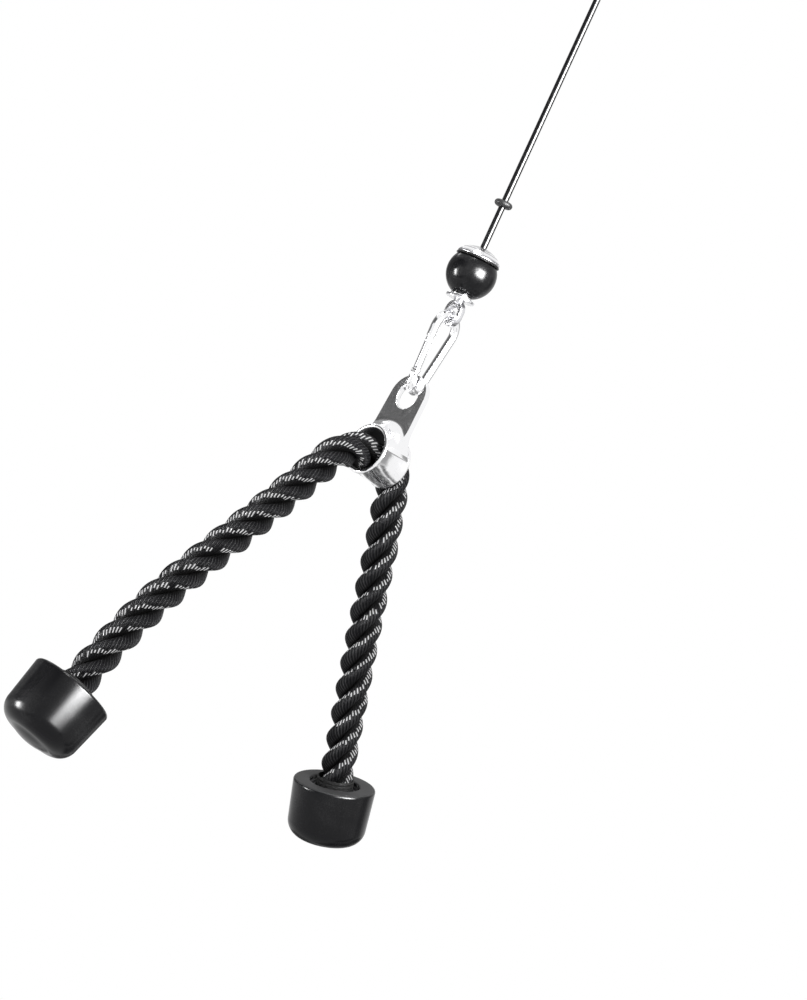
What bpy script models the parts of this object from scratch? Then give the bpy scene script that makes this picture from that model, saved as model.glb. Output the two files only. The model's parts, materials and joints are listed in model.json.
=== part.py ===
"""End of a gym cable: ball stop, snap hook, rope connector and a two-handled pull rope.

The cable hangs from the loop at its upper end and leans, and the hook and the
connector below it lean less, with the rope's weight plumb under the connector's
seat. Metres, +Z up. The rope's two legs lie in the XZ plane. The origin is the
point of the upper loop that bears on whatever holds the cable.
"""
from math import acos, asin, atan2, ceil, cos, pi, radians, sin, sqrt

import bmesh
import bpy
from mathutils import Matrix, Vector

MM = 0.001

# Gaps and facets shared by every piece
SEAT_GAP = 0.3 * MM
CUT_OVERRUN = 1.0 * MM
ROUND_FACETS = 32
SMALL_FACETS = 20
ROD_FACETS = 14
ROPE_FACETS = 16
FILLET_STEPS = 4
CURVE_READINGS = 20
SHARP_ANGLE = radians(35)

# Cable with its upper loop
CABLE_DIAMETER = 5.0 * MM
CABLE_FREE_LENGTH = 217.0 * MM
CABLE_LEAN = radians(7.6)
CABLE_POINT_PITCH = 12.0 * MM
LOOP_LENGTH = 42.0 * MM
THIMBLE_RADIUS = 9.0 * MM
THIMBLE_SHEET = 1.0 * MM
THIMBLE_RIM_HEIGHT = 3.4 * MM
THIMBLE_END_GAP = 12.0 * MM
LOOP_ARC_STEP = radians(15)
EASE_STEPS = 7
FERRULE_LENGTH = 18.0 * MM
FERRULE_WALL = 2.0 * MM
FERRULE_EDGE = 0.8 * MM
FERRULE_ARC_STEPS = 10
TAIL_LENGTH = 2.5 * MM

# Rubber collar gripping the cable
COLLAR_DIAMETER = 14.0 * MM
COLLAR_HEIGHT = 4.8 * MM
COLLAR_ABOVE_BALL = 57.0 * MM

# Ball stop: a ball turning on a flanged bush, under a domed cap with a gasket
BALL_DIAMETER = 38.0 * MM
BALL_TOP_FLAT_RADIUS = 15.9 * MM
BALL_FOOT_FLAT_RADIUS = 8.7 * MM
BALL_ARC_STEPS = 13
BUSH_DIAMETER = 12.4 * MM
BUSH_BORE = 8.8 * MM
BUSH_FLANGE_DIAMETER = 17.5 * MM
BUSH_FLANGE_HEIGHT = 1.7 * MM
GASKET_DIAMETER = 34.2 * MM
GASKET_HEIGHT = 1.1 * MM
CAP_DIAMETER = 33.6 * MM
CAP_HEIGHT = 8.8 * MM
CAP_SHEET = 1.2 * MM
CAP_BRIM_HEIGHT = 1.0 * MM
CAP_CROWN_SHARES = ((0.22, 1.0), (0.5, 0.84), (0.74, 0.6), (0.9, 0.32))

# Terminal pressed on the cable's lower end: shank, washer and eye
SHANK_DIAMETER = 8.0 * MM
SHANK_ABOVE_BALL_CENTRE = 1.0 * MM
WASHER_DIAMETER = 22.5 * MM
WASHER_HEIGHT = 2.0 * MM
WASHER_EDGE = 0.4 * MM
EYE_THICKNESS = 5.0 * MM
EYE_WIDTH = 16.8 * MM
EYE_OPENING_WIDTH = 9.8 * MM
EYE_OPENING_HEIGHT = 11.2 * MM
EYE_FOOT = 4.5 * MM
EYE_CROWN = 5.2 * MM
EYE_EDGE = 0.8 * MM
EYE_ARC_STEPS = 12
EYE_GAP = 0.6 * MM

# Lean of the hook and the connector, which puts the rope's weight plumb below the hook's lower bow
HANG_LEAN = radians(3.0)

# Snap hook: a pear of round bar with a sprung gate on its near leg
HOOK_SWIVEL = radians(10)
HOOK_BAR = 7.0 * MM
HOOK_TOP_RADIUS = 13.0 * MM
HOOK_FOOT_RADIUS = 7.0 * MM
HOOK_BOW_SPACING = 43.2 * MM
HOOK_ARC_STEP = radians(15)
GATE_BAR = 5.8 * MM
GATE_LENGTH = 27.0 * MM
GATE_PIVOT_UP_LEG = 7.2 * MM
GATE_END_RADIUS = 3.2 * MM
GATE_END_GAP = 0.6 * MM
GATE_SLOT = 3.0 * MM
TONGUE_THICKNESS = 2.4 * MM
TONGUE_RADIUS = 2.9 * MM
TONGUE_SLOT_GAP = 0.5 * MM
NOSE_LENGTH = 4.8 * MM
NOSE_WIDTH = 3.6 * MM
NOSE_HEAD_WIDTH = 3.8 * MM
NOSE_HEAD_LENGTH = 1.5 * MM
NOSE_GAP = 0.5 * MM
RIVET_DIAMETER = 2.2 * MM
RIVET_HEAD_DIAMETER = 3.4 * MM
RIVET_HEAD_HEIGHT = 0.6 * MM
GATE_BORE = 2.7 * MM
PLUNGER_DIAMETER = 2.0 * MM
PLUNGER_LENGTH = 4.0 * MM
SPRING_WIRE = 0.36 * MM
SPRING_LENGTH = 8.6 * MM
SPRING_TURNS = 7
SPRING_POINTS_PER_TURN = 8

# Rope connector: one casting of a lug that flares into a short tube
ROPE_PLAY = 3.5 * MM
TUBE_WALL = 2.6 * MM
TUBE_LENGTH = 30.0 * MM
LIP_SWELL = 0.7 * MM
LIP_STEPS = 6
LUG_THICKNESS = 4.8 * MM
LUG_TOP_RADIUS = 17.2 * MM
LUG_HOLE_DIAMETER = 19.5 * MM
LUG_HOLE_EDGE = 1.2 * MM
LUG_HOLE_ABOVE_TUBE = 49.0 * MM
FLARE_EASE = 2.4 * MM
FLARE_STEPS = 5
FLARE_FACETS = 48
TUBE_FACETS = 36
LUG_ARC_STEPS = 14

# Rope: one length through the tube, with a leg out of either mouth
ROPE_DIAMETER = 26.0 * MM
ROPE_IN_STOP = 32.0 * MM
ROPE_REST_GAP = 0.4 * MM
ROPE_DOME_STEPS = 4
ROPE_POINT_PITCH = 11.0 * MM
BEND_POINT_PITCH = 3.6 * MM
BEND_FACETS = 6
# Centre line of each leg in rope thicknesses: out from the tube's mouth, then up from the rope's axis there
LEFT_ROUTE_SHARES = (
    (-0.11538, 0.0), (0.21154, -0.04615), (0.51538, -0.17308), (0.78077, -0.37308), (1.00769, -0.67308),
    (1.38462, -1.36154), (1.98077, -2.45769), (2.61538, -3.61154), (3.28846, -4.80385),
    (3.88462, -5.9), (4.36923, -6.91923), (4.74231, -7.88077), (5.03846, -8.78462), (5.26538, -9.53462),
)
RIGHT_ROUTE_SHARES = (
    (-0.11538, 0.00385), (0.21154, -0.06154), (0.42692, -0.25769), (0.55385, -0.54615), (0.73077, -0.93846),
    (0.92308, -1.35), (1.2, -1.95769), (1.60769, -2.95769), (2.03077, -3.95769), (2.45769, -4.93846),
    (2.9, -5.91923), (3.33846, -6.9), (3.73077, -7.78462), (4.05, -8.52308),
)
HINGE_POINT_INDEX = 3
LEG_SWING_OUT = radians(45)
LEG_SWING_IN = radians(24)

# Rubber stop and rope binding at the end of each leg
STOP_DIAMETER = 63.0 * MM
STOP_FOOT_DIAMETER = 60.0 * MM
STOP_HEIGHT = 45.5 * MM
STOP_TOP_EDGE = 2.4 * MM
STOP_FOOT_EDGE = 13.5 * MM
STOP_FOOT_CROWN = 3.0 * MM
RECESS_ROOM = 4.4 * MM
RECESS_DEPTH = 4.0 * MM
RECESS_LIP = 1.6 * MM
BINDING_SHEET = 1.0 * MM
BINDING_BELOW_FACE = 12.0 * MM
BINDING_ABOVE_FACE = 8.0 * MM

# Derived places along the cable, measured down from the loop's bearing point
LEG_SPACING = CABLE_DIAMETER + SEAT_GAP
LOOP_RADIUS = THIMBLE_RADIUS + THIMBLE_SHEET + SEAT_GAP + CABLE_DIAMETER / 2
FERRULE_FOOT = LOOP_LENGTH + FERRULE_LENGTH
BALL_RADIUS = BALL_DIAMETER / 2
BALL_TOP = sqrt(BALL_RADIUS ** 2 - BALL_TOP_FLAT_RADIUS ** 2)
BALL_FOOT = -sqrt(BALL_RADIUS ** 2 - BALL_FOOT_FLAT_RADIUS ** 2)
GASKET_FOOT = BALL_TOP + SEAT_GAP
CAP_FOOT = GASKET_FOOT + GASKET_HEIGHT + SEAT_GAP
CAP_TOP = CAP_FOOT + CAP_HEIGHT
BALL_CENTRE_DOWN = FERRULE_FOOT + CABLE_FREE_LENGTH + CAP_TOP
FLANGE_TOP = BALL_FOOT - SEAT_GAP
WASHER_TOP = FLANGE_TOP - BUSH_FLANGE_HEIGHT - SEAT_GAP
EYE_TOP = WASHER_TOP - WASHER_HEIGHT - SEAT_GAP
EYE_OPENING_TOP = EYE_TOP - EYE_CROWN
EYE_OPENING_FOOT = EYE_OPENING_TOP - EYE_OPENING_HEIGHT
BEARING_UNDER_BALL = -(EYE_OPENING_FOOT + EYE_GAP + HOOK_BAR / 2)
BEARING_DOWN = BALL_CENTRE_DOWN + BEARING_UNDER_BALL

# Frames: the leaning cable, the hook on the eye, and what hangs under the hook
CABLE_FRAME = Matrix.Rotation(-CABLE_LEAN, 4, "Y")
BEARING = CABLE_FRAME @ Vector((0, 0, -BEARING_DOWN))
HANG_FRAME = Matrix.Translation(BEARING) @ Matrix.Rotation(-HANG_LEAN, 4, "Y")
HOOK_FRAME = HANG_FRAME @ Matrix.Rotation(HOOK_SWIVEL, 4, "Z")
FOOT_BOW_DOWN = HOOK_TOP_RADIUS + HOOK_BOW_SPACING
CONNECTOR_FRAME = HANG_FRAME @ Matrix.Translation((0, 0, -FOOT_BOW_DOWN))
HOOK_LEG_SLOPE = asin((HOOK_TOP_RADIUS - HOOK_FOOT_RADIUS) / HOOK_BOW_SPACING)
SEAT_HALF_WIDTH = LUG_THICKNESS / 2 - LUG_HOLE_EDGE
FOOT_BOW_INNER = HOOK_FOOT_RADIUS - HOOK_BAR / 2 - SEAT_GAP
LUG_SEAT_DOWN = sqrt(FOOT_BOW_INNER ** 2 - SEAT_HALF_WIDTH ** 2)
LUG_HOLE_DOWN = LUG_SEAT_DOWN + LUG_HOLE_DIAMETER / 2
TUBE_DOWN = LUG_HOLE_DOWN + LUG_HOLE_ABOVE_TUBE
TUBE_BORE = ROPE_DIAMETER + 2 * ROPE_PLAY
TUBE_RADIUS = TUBE_BORE / 2 + TUBE_WALL
FLARE_RISE = TUBE_LENGTH / 2 - TUBE_WALL - LUG_THICKNESS / 2
FLARE_RADIUS = FLARE_RISE + FLARE_EASE
FLARE_TOP_ABOVE_TUBE = TUBE_RADIUS + FLARE_RADIUS
ROPE_SAG_IN_TUBE = ROPE_PLAY - ROPE_REST_GAP
BINDING_ROOM_RADIUS = ROPE_DIAMETER / 2 + SEAT_GAP + BINDING_SHEET + SEAT_GAP
RECESS_RADIUS = BINDING_ROOM_RADIUS + RECESS_ROOM


# Mesh helpers

def finished(shape):
    """Face every wall outward and hand the shape back."""
    bmesh.ops.recalc_face_normals(shape, faces=shape.faces)
    return shape


def lathe(outline, facets, turn=None):
    """Turn a closed outline of (radius, height) points once round Z."""
    shape = bmesh.new()
    rings = []
    for radius, height in outline:
        if radius == 0:
            rings.append([shape.verts.new((0, 0, height))] * facets)
            continue
        angles = [2 * pi * i / facets for i in range(facets)]
        rings.append([shape.verts.new((radius * cos(a), radius * sin(a), height)) for a in angles])
    for ring, following in zip(rings, rings[1:] + rings[:1]):
        for i in range(facets):
            j = (i + 1) % facets
            corners = []
            for corner in (ring[i], ring[j], following[j], following[i]):
                if corner not in corners:
                    corners.append(corner)
            if len(corners) > 2:
                shape.faces.new(corners)
    if turn is not None:
        bmesh.ops.transform(shape, matrix=turn, verts=shape.verts)
    return finished(shape)


def sweep(stations, section_at, across):
    """Carry a section along flat stations; its first axis is the side, its second is across."""
    shape = bmesh.new()
    rings = []
    for index, place in enumerate(stations):
        before = stations[max(index - 1, 0)]
        after = stations[min(index + 1, len(stations) - 1)]
        side = (after - before).normalized().cross(across)
        points = [place + side * a + across * b for a, b in section_at(index)]
        rings.append([shape.verts.new(point) for point in points])
    for ring, following in zip(rings, rings[1:]):
        for i in range(len(ring)):
            j = (i + 1) % len(ring)
            shape.faces.new((ring[i], ring[j], following[j], following[i]))
    shape.faces.new(rings[0])
    shape.faces.new(list(reversed(rings[-1])))
    return finished(shape)


def off_centre(facets):
    """Turn by a quarter of a facet, which keeps a cutter's corners off its work's middle plane."""
    return Matrix.Rotation(pi / (2 * facets), 4, "Z")


def plate(outline, thickness):
    """Extrude a closed (Y, Z) outline to equal depths either side of the YZ plane."""
    shape = bmesh.new()
    front = [shape.verts.new((-thickness / 2, y, z)) for y, z in outline]
    back = [shape.verts.new((thickness / 2, y, z)) for y, z in outline]
    shape.faces.new(front)
    shape.faces.new(list(reversed(back)))
    for i in range(len(outline)):
        j = (i + 1) % len(outline)
        shape.faces.new((front[i], back[i], back[j], front[j]))
    return finished(shape)


def block(size, centre):
    """An upright box of the given (X, Y, Z) size."""
    shape = bmesh.new()
    bmesh.ops.create_cube(shape, size=1)
    bmesh.ops.scale(shape, vec=size, verts=shape.verts)
    bmesh.ops.translate(shape, vec=centre, verts=shape.verts)
    return finished(shape)


def arc(centre, radius, start, end, steps):
    """Points of a flat arc, both ends included."""
    angles = [start + (end - start) * i / steps for i in range(steps + 1)]
    return [(centre[0] + radius * cos(a), centre[1] + radius * sin(a)) for a in angles]


def circle(radius, facets):
    """A closed round section."""
    return [(radius * cos(2 * pi * i / facets), radius * sin(2 * pi * i / facets)) for i in range(facets)]


def smooth_route(points, pitch):
    """Read points at an even pitch from a smooth curve through the given ones."""
    ends = [2 * points[0] - points[1]] + list(points) + [2 * points[-1] - points[-2]]
    fine = []
    for p0, p1, p2, p3 in zip(ends, ends[1:], ends[2:], ends[3:]):
        count = max(2, ceil(CURVE_READINGS * (p2 - p1).length / pitch))
        for i in range(count):
            t = i / count
            fine.append(0.5 * (2 * p1 + (p2 - p0) * t + (2 * p0 - 5 * p1 + 4 * p2 - p3) * t ** 2
                               + (3 * p1 - p0 - 3 * p2 + p3) * t ** 3))
    fine.append(points[-1])
    lengths = [0]
    for a, b in zip(fine, fine[1:]):
        lengths.append(lengths[-1] + (b - a).length)
    count = max(2, round(lengths[-1] / pitch))
    route = []
    k = 0
    for i in range(count + 1):
        goal = lengths[-1] * i / count
        while k < len(fine) - 2 and lengths[k + 1] < goal:
            k += 1
        share = (goal - lengths[k]) / (lengths[k + 1] - lengths[k])
        route.append(fine[k].lerp(fine[k + 1], share))
    return route


def material(name, colour, roughness, metallic):
    """A plain finish for one piece."""
    finish = bpy.data.materials.new(name)
    finish.use_nodes = True
    shader = finish.node_tree.nodes["Principled BSDF"]
    shader.inputs["Base Color"].default_value = (*colour, 1)
    shader.inputs["Roughness"].default_value = roughness
    shader.inputs["Metallic"].default_value = metallic
    finish.diffuse_color = (*colour, 1)
    return finish


FINISHES = {
    "chrome": ((0.72, 0.73, 0.75), 0.12, 1),
    "zinc": ((0.66, 0.67, 0.69), 0.28, 1),
    "spring steel": ((0.5, 0.5, 0.52), 0.3, 1),
    "gloss black": ((0.012, 0.012, 0.013), 0.12, 0),
    "rubber": ((0.02, 0.02, 0.021), 0.3, 0),
    "rope": ((0.015, 0.015, 0.016), 0.6, 0),
    "binding": ((0.02, 0.02, 0.02), 0.4, 0),
}


def piece(name, shape, frame, finish):
    """Make a named solid whose origin and axes are those of its frame."""
    mesh = bpy.data.meshes.new(name)
    shape.to_mesh(mesh)
    shape.free()
    mesh.shade_smooth()
    mesh.set_sharp_from_angle(angle=SHARP_ANGLE)
    solid = bpy.data.objects.new(name, mesh)
    solid.matrix_world = frame
    solid.data.materials.append(material(name, *FINISHES[finish]))
    bpy.context.scene.collection.objects.link(solid)
    return solid


def cord(name, route, diameter, sides, frame, finish, radius_shares=None):
    """Make a round cord: a bevelled poly line with filled ends."""
    line = bpy.data.curves.new(name, "CURVE")
    line.dimensions = "3D"
    line.bevel_depth = diameter / 2
    line.bevel_resolution = sides
    line.use_fill_caps = True
    spline = line.splines.new("POLY")
    spline.points.add(len(route) - 1)
    for index, (point, place) in enumerate(zip(spline.points, route)):
        point.co = (*place, 1)
        point.radius = radius_shares[index] if radius_shares else 1
    solid = bpy.data.objects.new(name, line)
    solid.matrix_world = frame
    line.materials.append(material(name, *FINISHES[finish]))
    bpy.context.scene.collection.objects.link(solid)
    return solid


def combine(solid, shape, frame, operation):
    """Add a shape to a solid, cut it out, or keep what they share."""
    mesh = bpy.data.meshes.new("tool of " + solid.name)
    shape.to_mesh(mesh)
    shape.free()
    tool = bpy.data.objects.new(mesh.name, mesh)
    tool.matrix_world = frame
    tool.hide_render = True
    tool.display_type = "WIRE"
    bpy.context.scene.collection.objects.link(tool)
    change = solid.modifiers.new(operation.lower(), "BOOLEAN")
    change.operation = operation
    change.solver = "EXACT"
    change.object = tool
    return tool


# Cable, upper loop and collar

def leg_angle(offset):
    """Angle on the loop's arc where the straight line from a leg's foot meets it."""
    drop = LOOP_LENGTH - THIMBLE_RADIUS
    return atan2(-drop, offset) + acos(LOOP_RADIUS / sqrt(drop ** 2 + offset ** 2))


def ease(start, start_way, end, end_way):
    """Points of a smooth bend from one place and direction to another, both ends included."""
    reach = (end - start).length
    points = []
    for i in range(EASE_STEPS + 1):
        t = i / EASE_STEPS
        points.append((2 * t ** 3 - 3 * t ** 2 + 1) * start + (t ** 3 - 2 * t ** 2 + t) * reach * start_way
                      + (3 * t ** 2 - 2 * t ** 3) * end + (t ** 3 - t ** 2) * reach * end_way)
    return points


def loop_line():
    """Centre line of the loop in the XZ plane, from its live leg's foot round to its dead one's."""
    centre = Vector((0, 0, -THIMBLE_RADIUS))
    start = leg_angle(0)
    end = pi - leg_angle(LEG_SPACING)
    steps = ceil((end - start) / LOOP_ARC_STEP)
    angles = [start + (end - start) * i / steps for i in range(steps + 1)]
    round_top = [centre + LOOP_RADIUS * Vector((cos(a), 0, sin(a))) for a in angles]
    ways = [Vector((-sin(a), 0, cos(a))) for a in angles]
    live = ease(Vector((0, 0, -LOOP_LENGTH)), Vector((0, 0, 1)), round_top[0], ways[0])
    dead = ease(round_top[-1], ways[-1], Vector((-LEG_SPACING, 0, -LOOP_LENGTH)), Vector((0, 0, -1)))
    return live[:-1] + round_top + dead[1:]


def cable_route():
    """The cable's whole centre line, up from the terminal and round the loop to its tail."""
    foot = BALL_CENTRE_DOWN - SHANK_ABOVE_BALL_CENTRE - SEAT_GAP
    count = ceil((foot - LOOP_LENGTH) / CABLE_POINT_PITCH)
    straight = [Vector((0, 0, -foot + (foot - LOOP_LENGTH) * i / count)) for i in range(count)]
    tail = Vector((-LEG_SPACING, 0, -FERRULE_FOOT - TAIL_LENGTH))
    return straight + loop_line() + [tail]


def moved_in(line, inset):
    """A copy of an XZ line moved square to itself, to its left as it runs."""
    moved = []
    for index, place in enumerate(line):
        before = line[max(index - 1, 0)]
        after = line[min(index + 1, len(line) - 1)]
        way = (after - before).normalized()
        moved.append(place + inset * Vector((-way.z, 0, way.x)))
    return moved


def above(line, floor):
    """The stretch of a line above a height, cut off exactly there at both ends."""
    kept = []
    for a, b in zip(line, line[1:]):
        if a.z > floor:
            kept.append(a)
        if (a.z > floor) != (b.z > floor):
            kept.append(a.lerp(b, (floor - a.z) / (b.z - a.z)))
    return kept


def build_cable():
    """One cable with a loop at its top."""
    cord("cable", cable_route(), CABLE_DIAMETER, 2, CABLE_FRAME, "gloss black")


def build_thimble():
    """Sheet-metal gutter that lines the loop, open towards the cable."""
    inset = CABLE_DIAMETER / 2 + SEAT_GAP
    rim = THIMBLE_RIM_HEIGHT
    sheet = THIMBLE_SHEET
    gutter = [(-sheet, -inset), (-sheet, inset), (0, inset + sheet), (rim, inset + sheet), (rim, inset),
              (0, inset), (0, -inset), (rim, -inset), (rim, -inset - sheet), (0, -inset - sheet)]
    line = above(moved_in(loop_line(), inset), THIMBLE_END_GAP - LOOP_LENGTH)
    shape = sweep(line, lambda index: gutter, Vector((0, -1, 0)))
    piece("thimble", shape, CABLE_FRAME, "zinc")


def slot_outline(spacing, radius, steps):
    """Two half rounds joined by straight sides, about the origin."""
    right = arc((spacing / 2, 0), radius, -pi / 2, pi / 2, steps)
    left = arc((-spacing / 2, 0), radius, pi / 2, 3 * pi / 2, steps)
    return right + left


def build_ferrule():
    """Oval sleeve pressed over the loop's two legs."""
    shape = bmesh.new()
    rows = []
    bore = slot_outline(LEG_SPACING, CABLE_DIAMETER / 2 + SEAT_GAP, FERRULE_ARC_STEPS // 2)
    outer_radius = CABLE_DIAMETER / 2 + SEAT_GAP + FERRULE_WALL
    levels = ((0, FERRULE_EDGE), (FERRULE_EDGE, 0), (FERRULE_LENGTH - FERRULE_EDGE, 0),
              (FERRULE_LENGTH, FERRULE_EDGE))
    for depth, inset in levels:
        outline = slot_outline(LEG_SPACING, outer_radius - inset, FERRULE_ARC_STEPS // 2)
        rows.append([shape.verts.new((x - LEG_SPACING / 2, y, -LOOP_LENGTH - depth)) for x, y in outline])
    for depth in (FERRULE_LENGTH, 0):
        rows.append([shape.verts.new((x - LEG_SPACING / 2, y, -LOOP_LENGTH - depth)) for x, y in bore])
    for row, following in zip(rows, rows[1:] + rows[:1]):
        for i in range(len(row)):
            j = (i + 1) % len(row)
            shape.faces.new((row[i], row[j], following[j], following[i]))
    piece("loop_ferrule", finished(shape), CABLE_FRAME, "zinc")


def build_collar():
    """Rubber ring that grips the cable above the ball."""
    bore = CABLE_DIAMETER / 2 + SEAT_GAP
    radius = COLLAR_HEIGHT / 2
    outline = [(bore, -radius), (bore, radius)]
    outline += arc((COLLAR_DIAMETER / 2 - radius, 0), radius, pi / 2, -pi / 2, 2 * FILLET_STEPS)
    frame = CABLE_FRAME @ Matrix.Translation((0, 0, -BALL_CENTRE_DOWN + COLLAR_ABOVE_BALL))
    piece("collar_ring", lathe(outline, SMALL_FACETS), frame, "rubber")


# Ball stop

BALL_FRAME = CABLE_FRAME @ Matrix.Translation((0, 0, -BALL_CENTRE_DOWN))


def build_ball_stop():
    """Ball, flanged bush, gasket and spun cap, all round the cable's axis."""
    bush = BUSH_DIAMETER / 2
    ball_bore = bush + SEAT_GAP
    top = asin(BALL_TOP / BALL_RADIUS)
    foot = asin(BALL_FOOT / BALL_RADIUS)
    zone = arc((0, 0), BALL_RADIUS, foot, top, BALL_ARC_STEPS)
    ball = [(ball_bore, BALL_FOOT)] + zone + [(ball_bore, BALL_TOP)]
    piece("stop_ball", lathe(ball, ROUND_FACETS), BALL_FRAME, "gloss black")

    bore = BUSH_BORE / 2
    flange = BUSH_FLANGE_DIAMETER / 2
    flange_foot = FLANGE_TOP - BUSH_FLANGE_HEIGHT
    bush_top = GASKET_FOOT + GASKET_HEIGHT
    outline = [(bore, flange_foot), (flange, flange_foot), (flange, FLANGE_TOP),
               (bush, FLANGE_TOP), (bush, bush_top), (bore, bush_top)]
    piece("stop_bush", lathe(outline, SMALL_FACETS), BALL_FRAME, "chrome")

    rim = GASKET_DIAMETER / 2
    gasket_top = GASKET_FOOT + GASKET_HEIGHT
    outline = [(ball_bore, GASKET_FOOT), (rim, GASKET_FOOT), (rim, gasket_top), (ball_bore, gasket_top)]
    piece("cap_gasket", lathe(outline, ROUND_FACETS), BALL_FRAME, "rubber")

    radius = CAP_DIAMETER / 2
    hole = CABLE_DIAMETER / 2 + SEAT_GAP
    rise = CAP_HEIGHT - CAP_BRIM_HEIGHT
    brim = CAP_FOOT + CAP_BRIM_HEIGHT
    crown = [(radius * r, brim + rise * h) for r, h in CAP_CROWN_SHARES]
    lining = [(r - CAP_SHEET / 2, h - CAP_SHEET) for r, h in reversed(crown)]
    outline = [(hole, CAP_TOP - CAP_SHEET), (hole, CAP_TOP)] + crown
    outline += [(radius, brim), (radius, CAP_FOOT), (radius - CAP_SHEET, CAP_FOOT)] + lining
    piece("stop_cap", lathe(outline, ROUND_FACETS), BALL_FRAME, "chrome")


# Terminal at the cable's lower end

def rounded_slot(width, top, foot, steps):
    """Upright outline with half-round ends between two heights."""
    radius = width / 2
    upper = arc((0, top - radius), radius, 0, pi, steps)
    lower = arc((0, foot + radius), radius, pi, 2 * pi, steps)
    return upper + lower


def build_terminal():
    """Swaged shank with a flat eye below it, and the washer that the ball stop rests on."""
    outline = rounded_slot(EYE_WIDTH, EYE_TOP, EYE_OPENING_FOOT - EYE_FOOT, EYE_ARC_STEPS)
    eye = piece("cable_terminal", plate(outline, EYE_THICKNESS), BALL_FRAME, "zinc")
    soften = eye.modifiers.new("edge", "BEVEL")
    soften.width = EYE_EDGE
    soften.segments = 2
    soften.limit_method = "ANGLE"
    shank = SHANK_DIAMETER / 2
    body = [(0, EYE_OPENING_TOP + EYE_CROWN / 2), (shank, EYE_OPENING_TOP + EYE_CROWN / 2),
            (shank, SHANK_ABOVE_BALL_CENTRE - EYE_EDGE), (shank - EYE_EDGE, SHANK_ABOVE_BALL_CENTRE),
            (0, SHANK_ABOVE_BALL_CENTRE)]
    combine(eye, lathe(body, SMALL_FACETS), BALL_FRAME, "UNION")
    opening = rounded_slot(EYE_OPENING_WIDTH, EYE_OPENING_TOP, EYE_OPENING_FOOT, EYE_ARC_STEPS)
    combine(eye, eye_opening(opening), BALL_FRAME, "DIFFERENCE")

    bore = SHANK_DIAMETER / 2 + SEAT_GAP
    rim = WASHER_DIAMETER / 2
    foot = WASHER_TOP - WASHER_HEIGHT
    outline = [(bore, foot), (rim - WASHER_EDGE, foot), (rim, foot + WASHER_EDGE),
               (rim, WASHER_TOP - WASHER_EDGE), (rim - WASHER_EDGE, WASHER_TOP), (bore, WASHER_TOP)]
    piece("terminal_washer", lathe(outline, SMALL_FACETS), BALL_FRAME, "zinc")


def eye_opening(outline):
    """Cutter for the eye, widened at both faces so that the edges come out rounded."""
    shape = bmesh.new()
    half = EYE_THICKNESS / 2
    centre_height = EYE_OPENING_FOOT + EYE_OPENING_HEIGHT / 2
    rows = []
    for x, spread in ((-half - CUT_OVERRUN, EYE_EDGE + CUT_OVERRUN), (-half + EYE_EDGE, 0),
                      (half - EYE_EDGE, 0), (half + CUT_OVERRUN, EYE_EDGE + CUT_OVERRUN)):
        row = []
        for y, z in outline:
            out = Vector((0, y, z - centre_height))
            row.append(shape.verts.new(Vector((x, y, z)) + out.normalized() * spread))
        rows.append(row)
    for row, following in zip(rows, rows[1:]):
        for i in range(len(row)):
            j = (i + 1) % len(row)
            shape.faces.new((row[i], row[j], following[j], following[i]))
    shape.faces.new(rows[0])
    shape.faces.new(list(reversed(rows[-1])))
    return finished(shape)


# Snap hook. In its frame X runs across the pear, Y is square to it and Z is up.

LEG_FOOT = Vector((-HOOK_FOOT_RADIUS * cos(HOOK_LEG_SLOPE), 0,
                   -FOOT_BOW_DOWN - HOOK_FOOT_RADIUS * sin(HOOK_LEG_SLOPE)))
LEG_UP = Vector((-sin(HOOK_LEG_SLOPE), 0, cos(HOOK_LEG_SLOPE)))
GATE_PIVOT = LEG_FOOT + LEG_UP * GATE_PIVOT_UP_LEG
# In the gate's frame Z runs up the leg, and X points to the inside of the pear
GATE_FRAME = HOOK_FRAME @ Matrix.Translation(GATE_PIVOT) @ Matrix.Rotation(-HOOK_LEG_SLOPE, 4, "Y")


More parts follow.
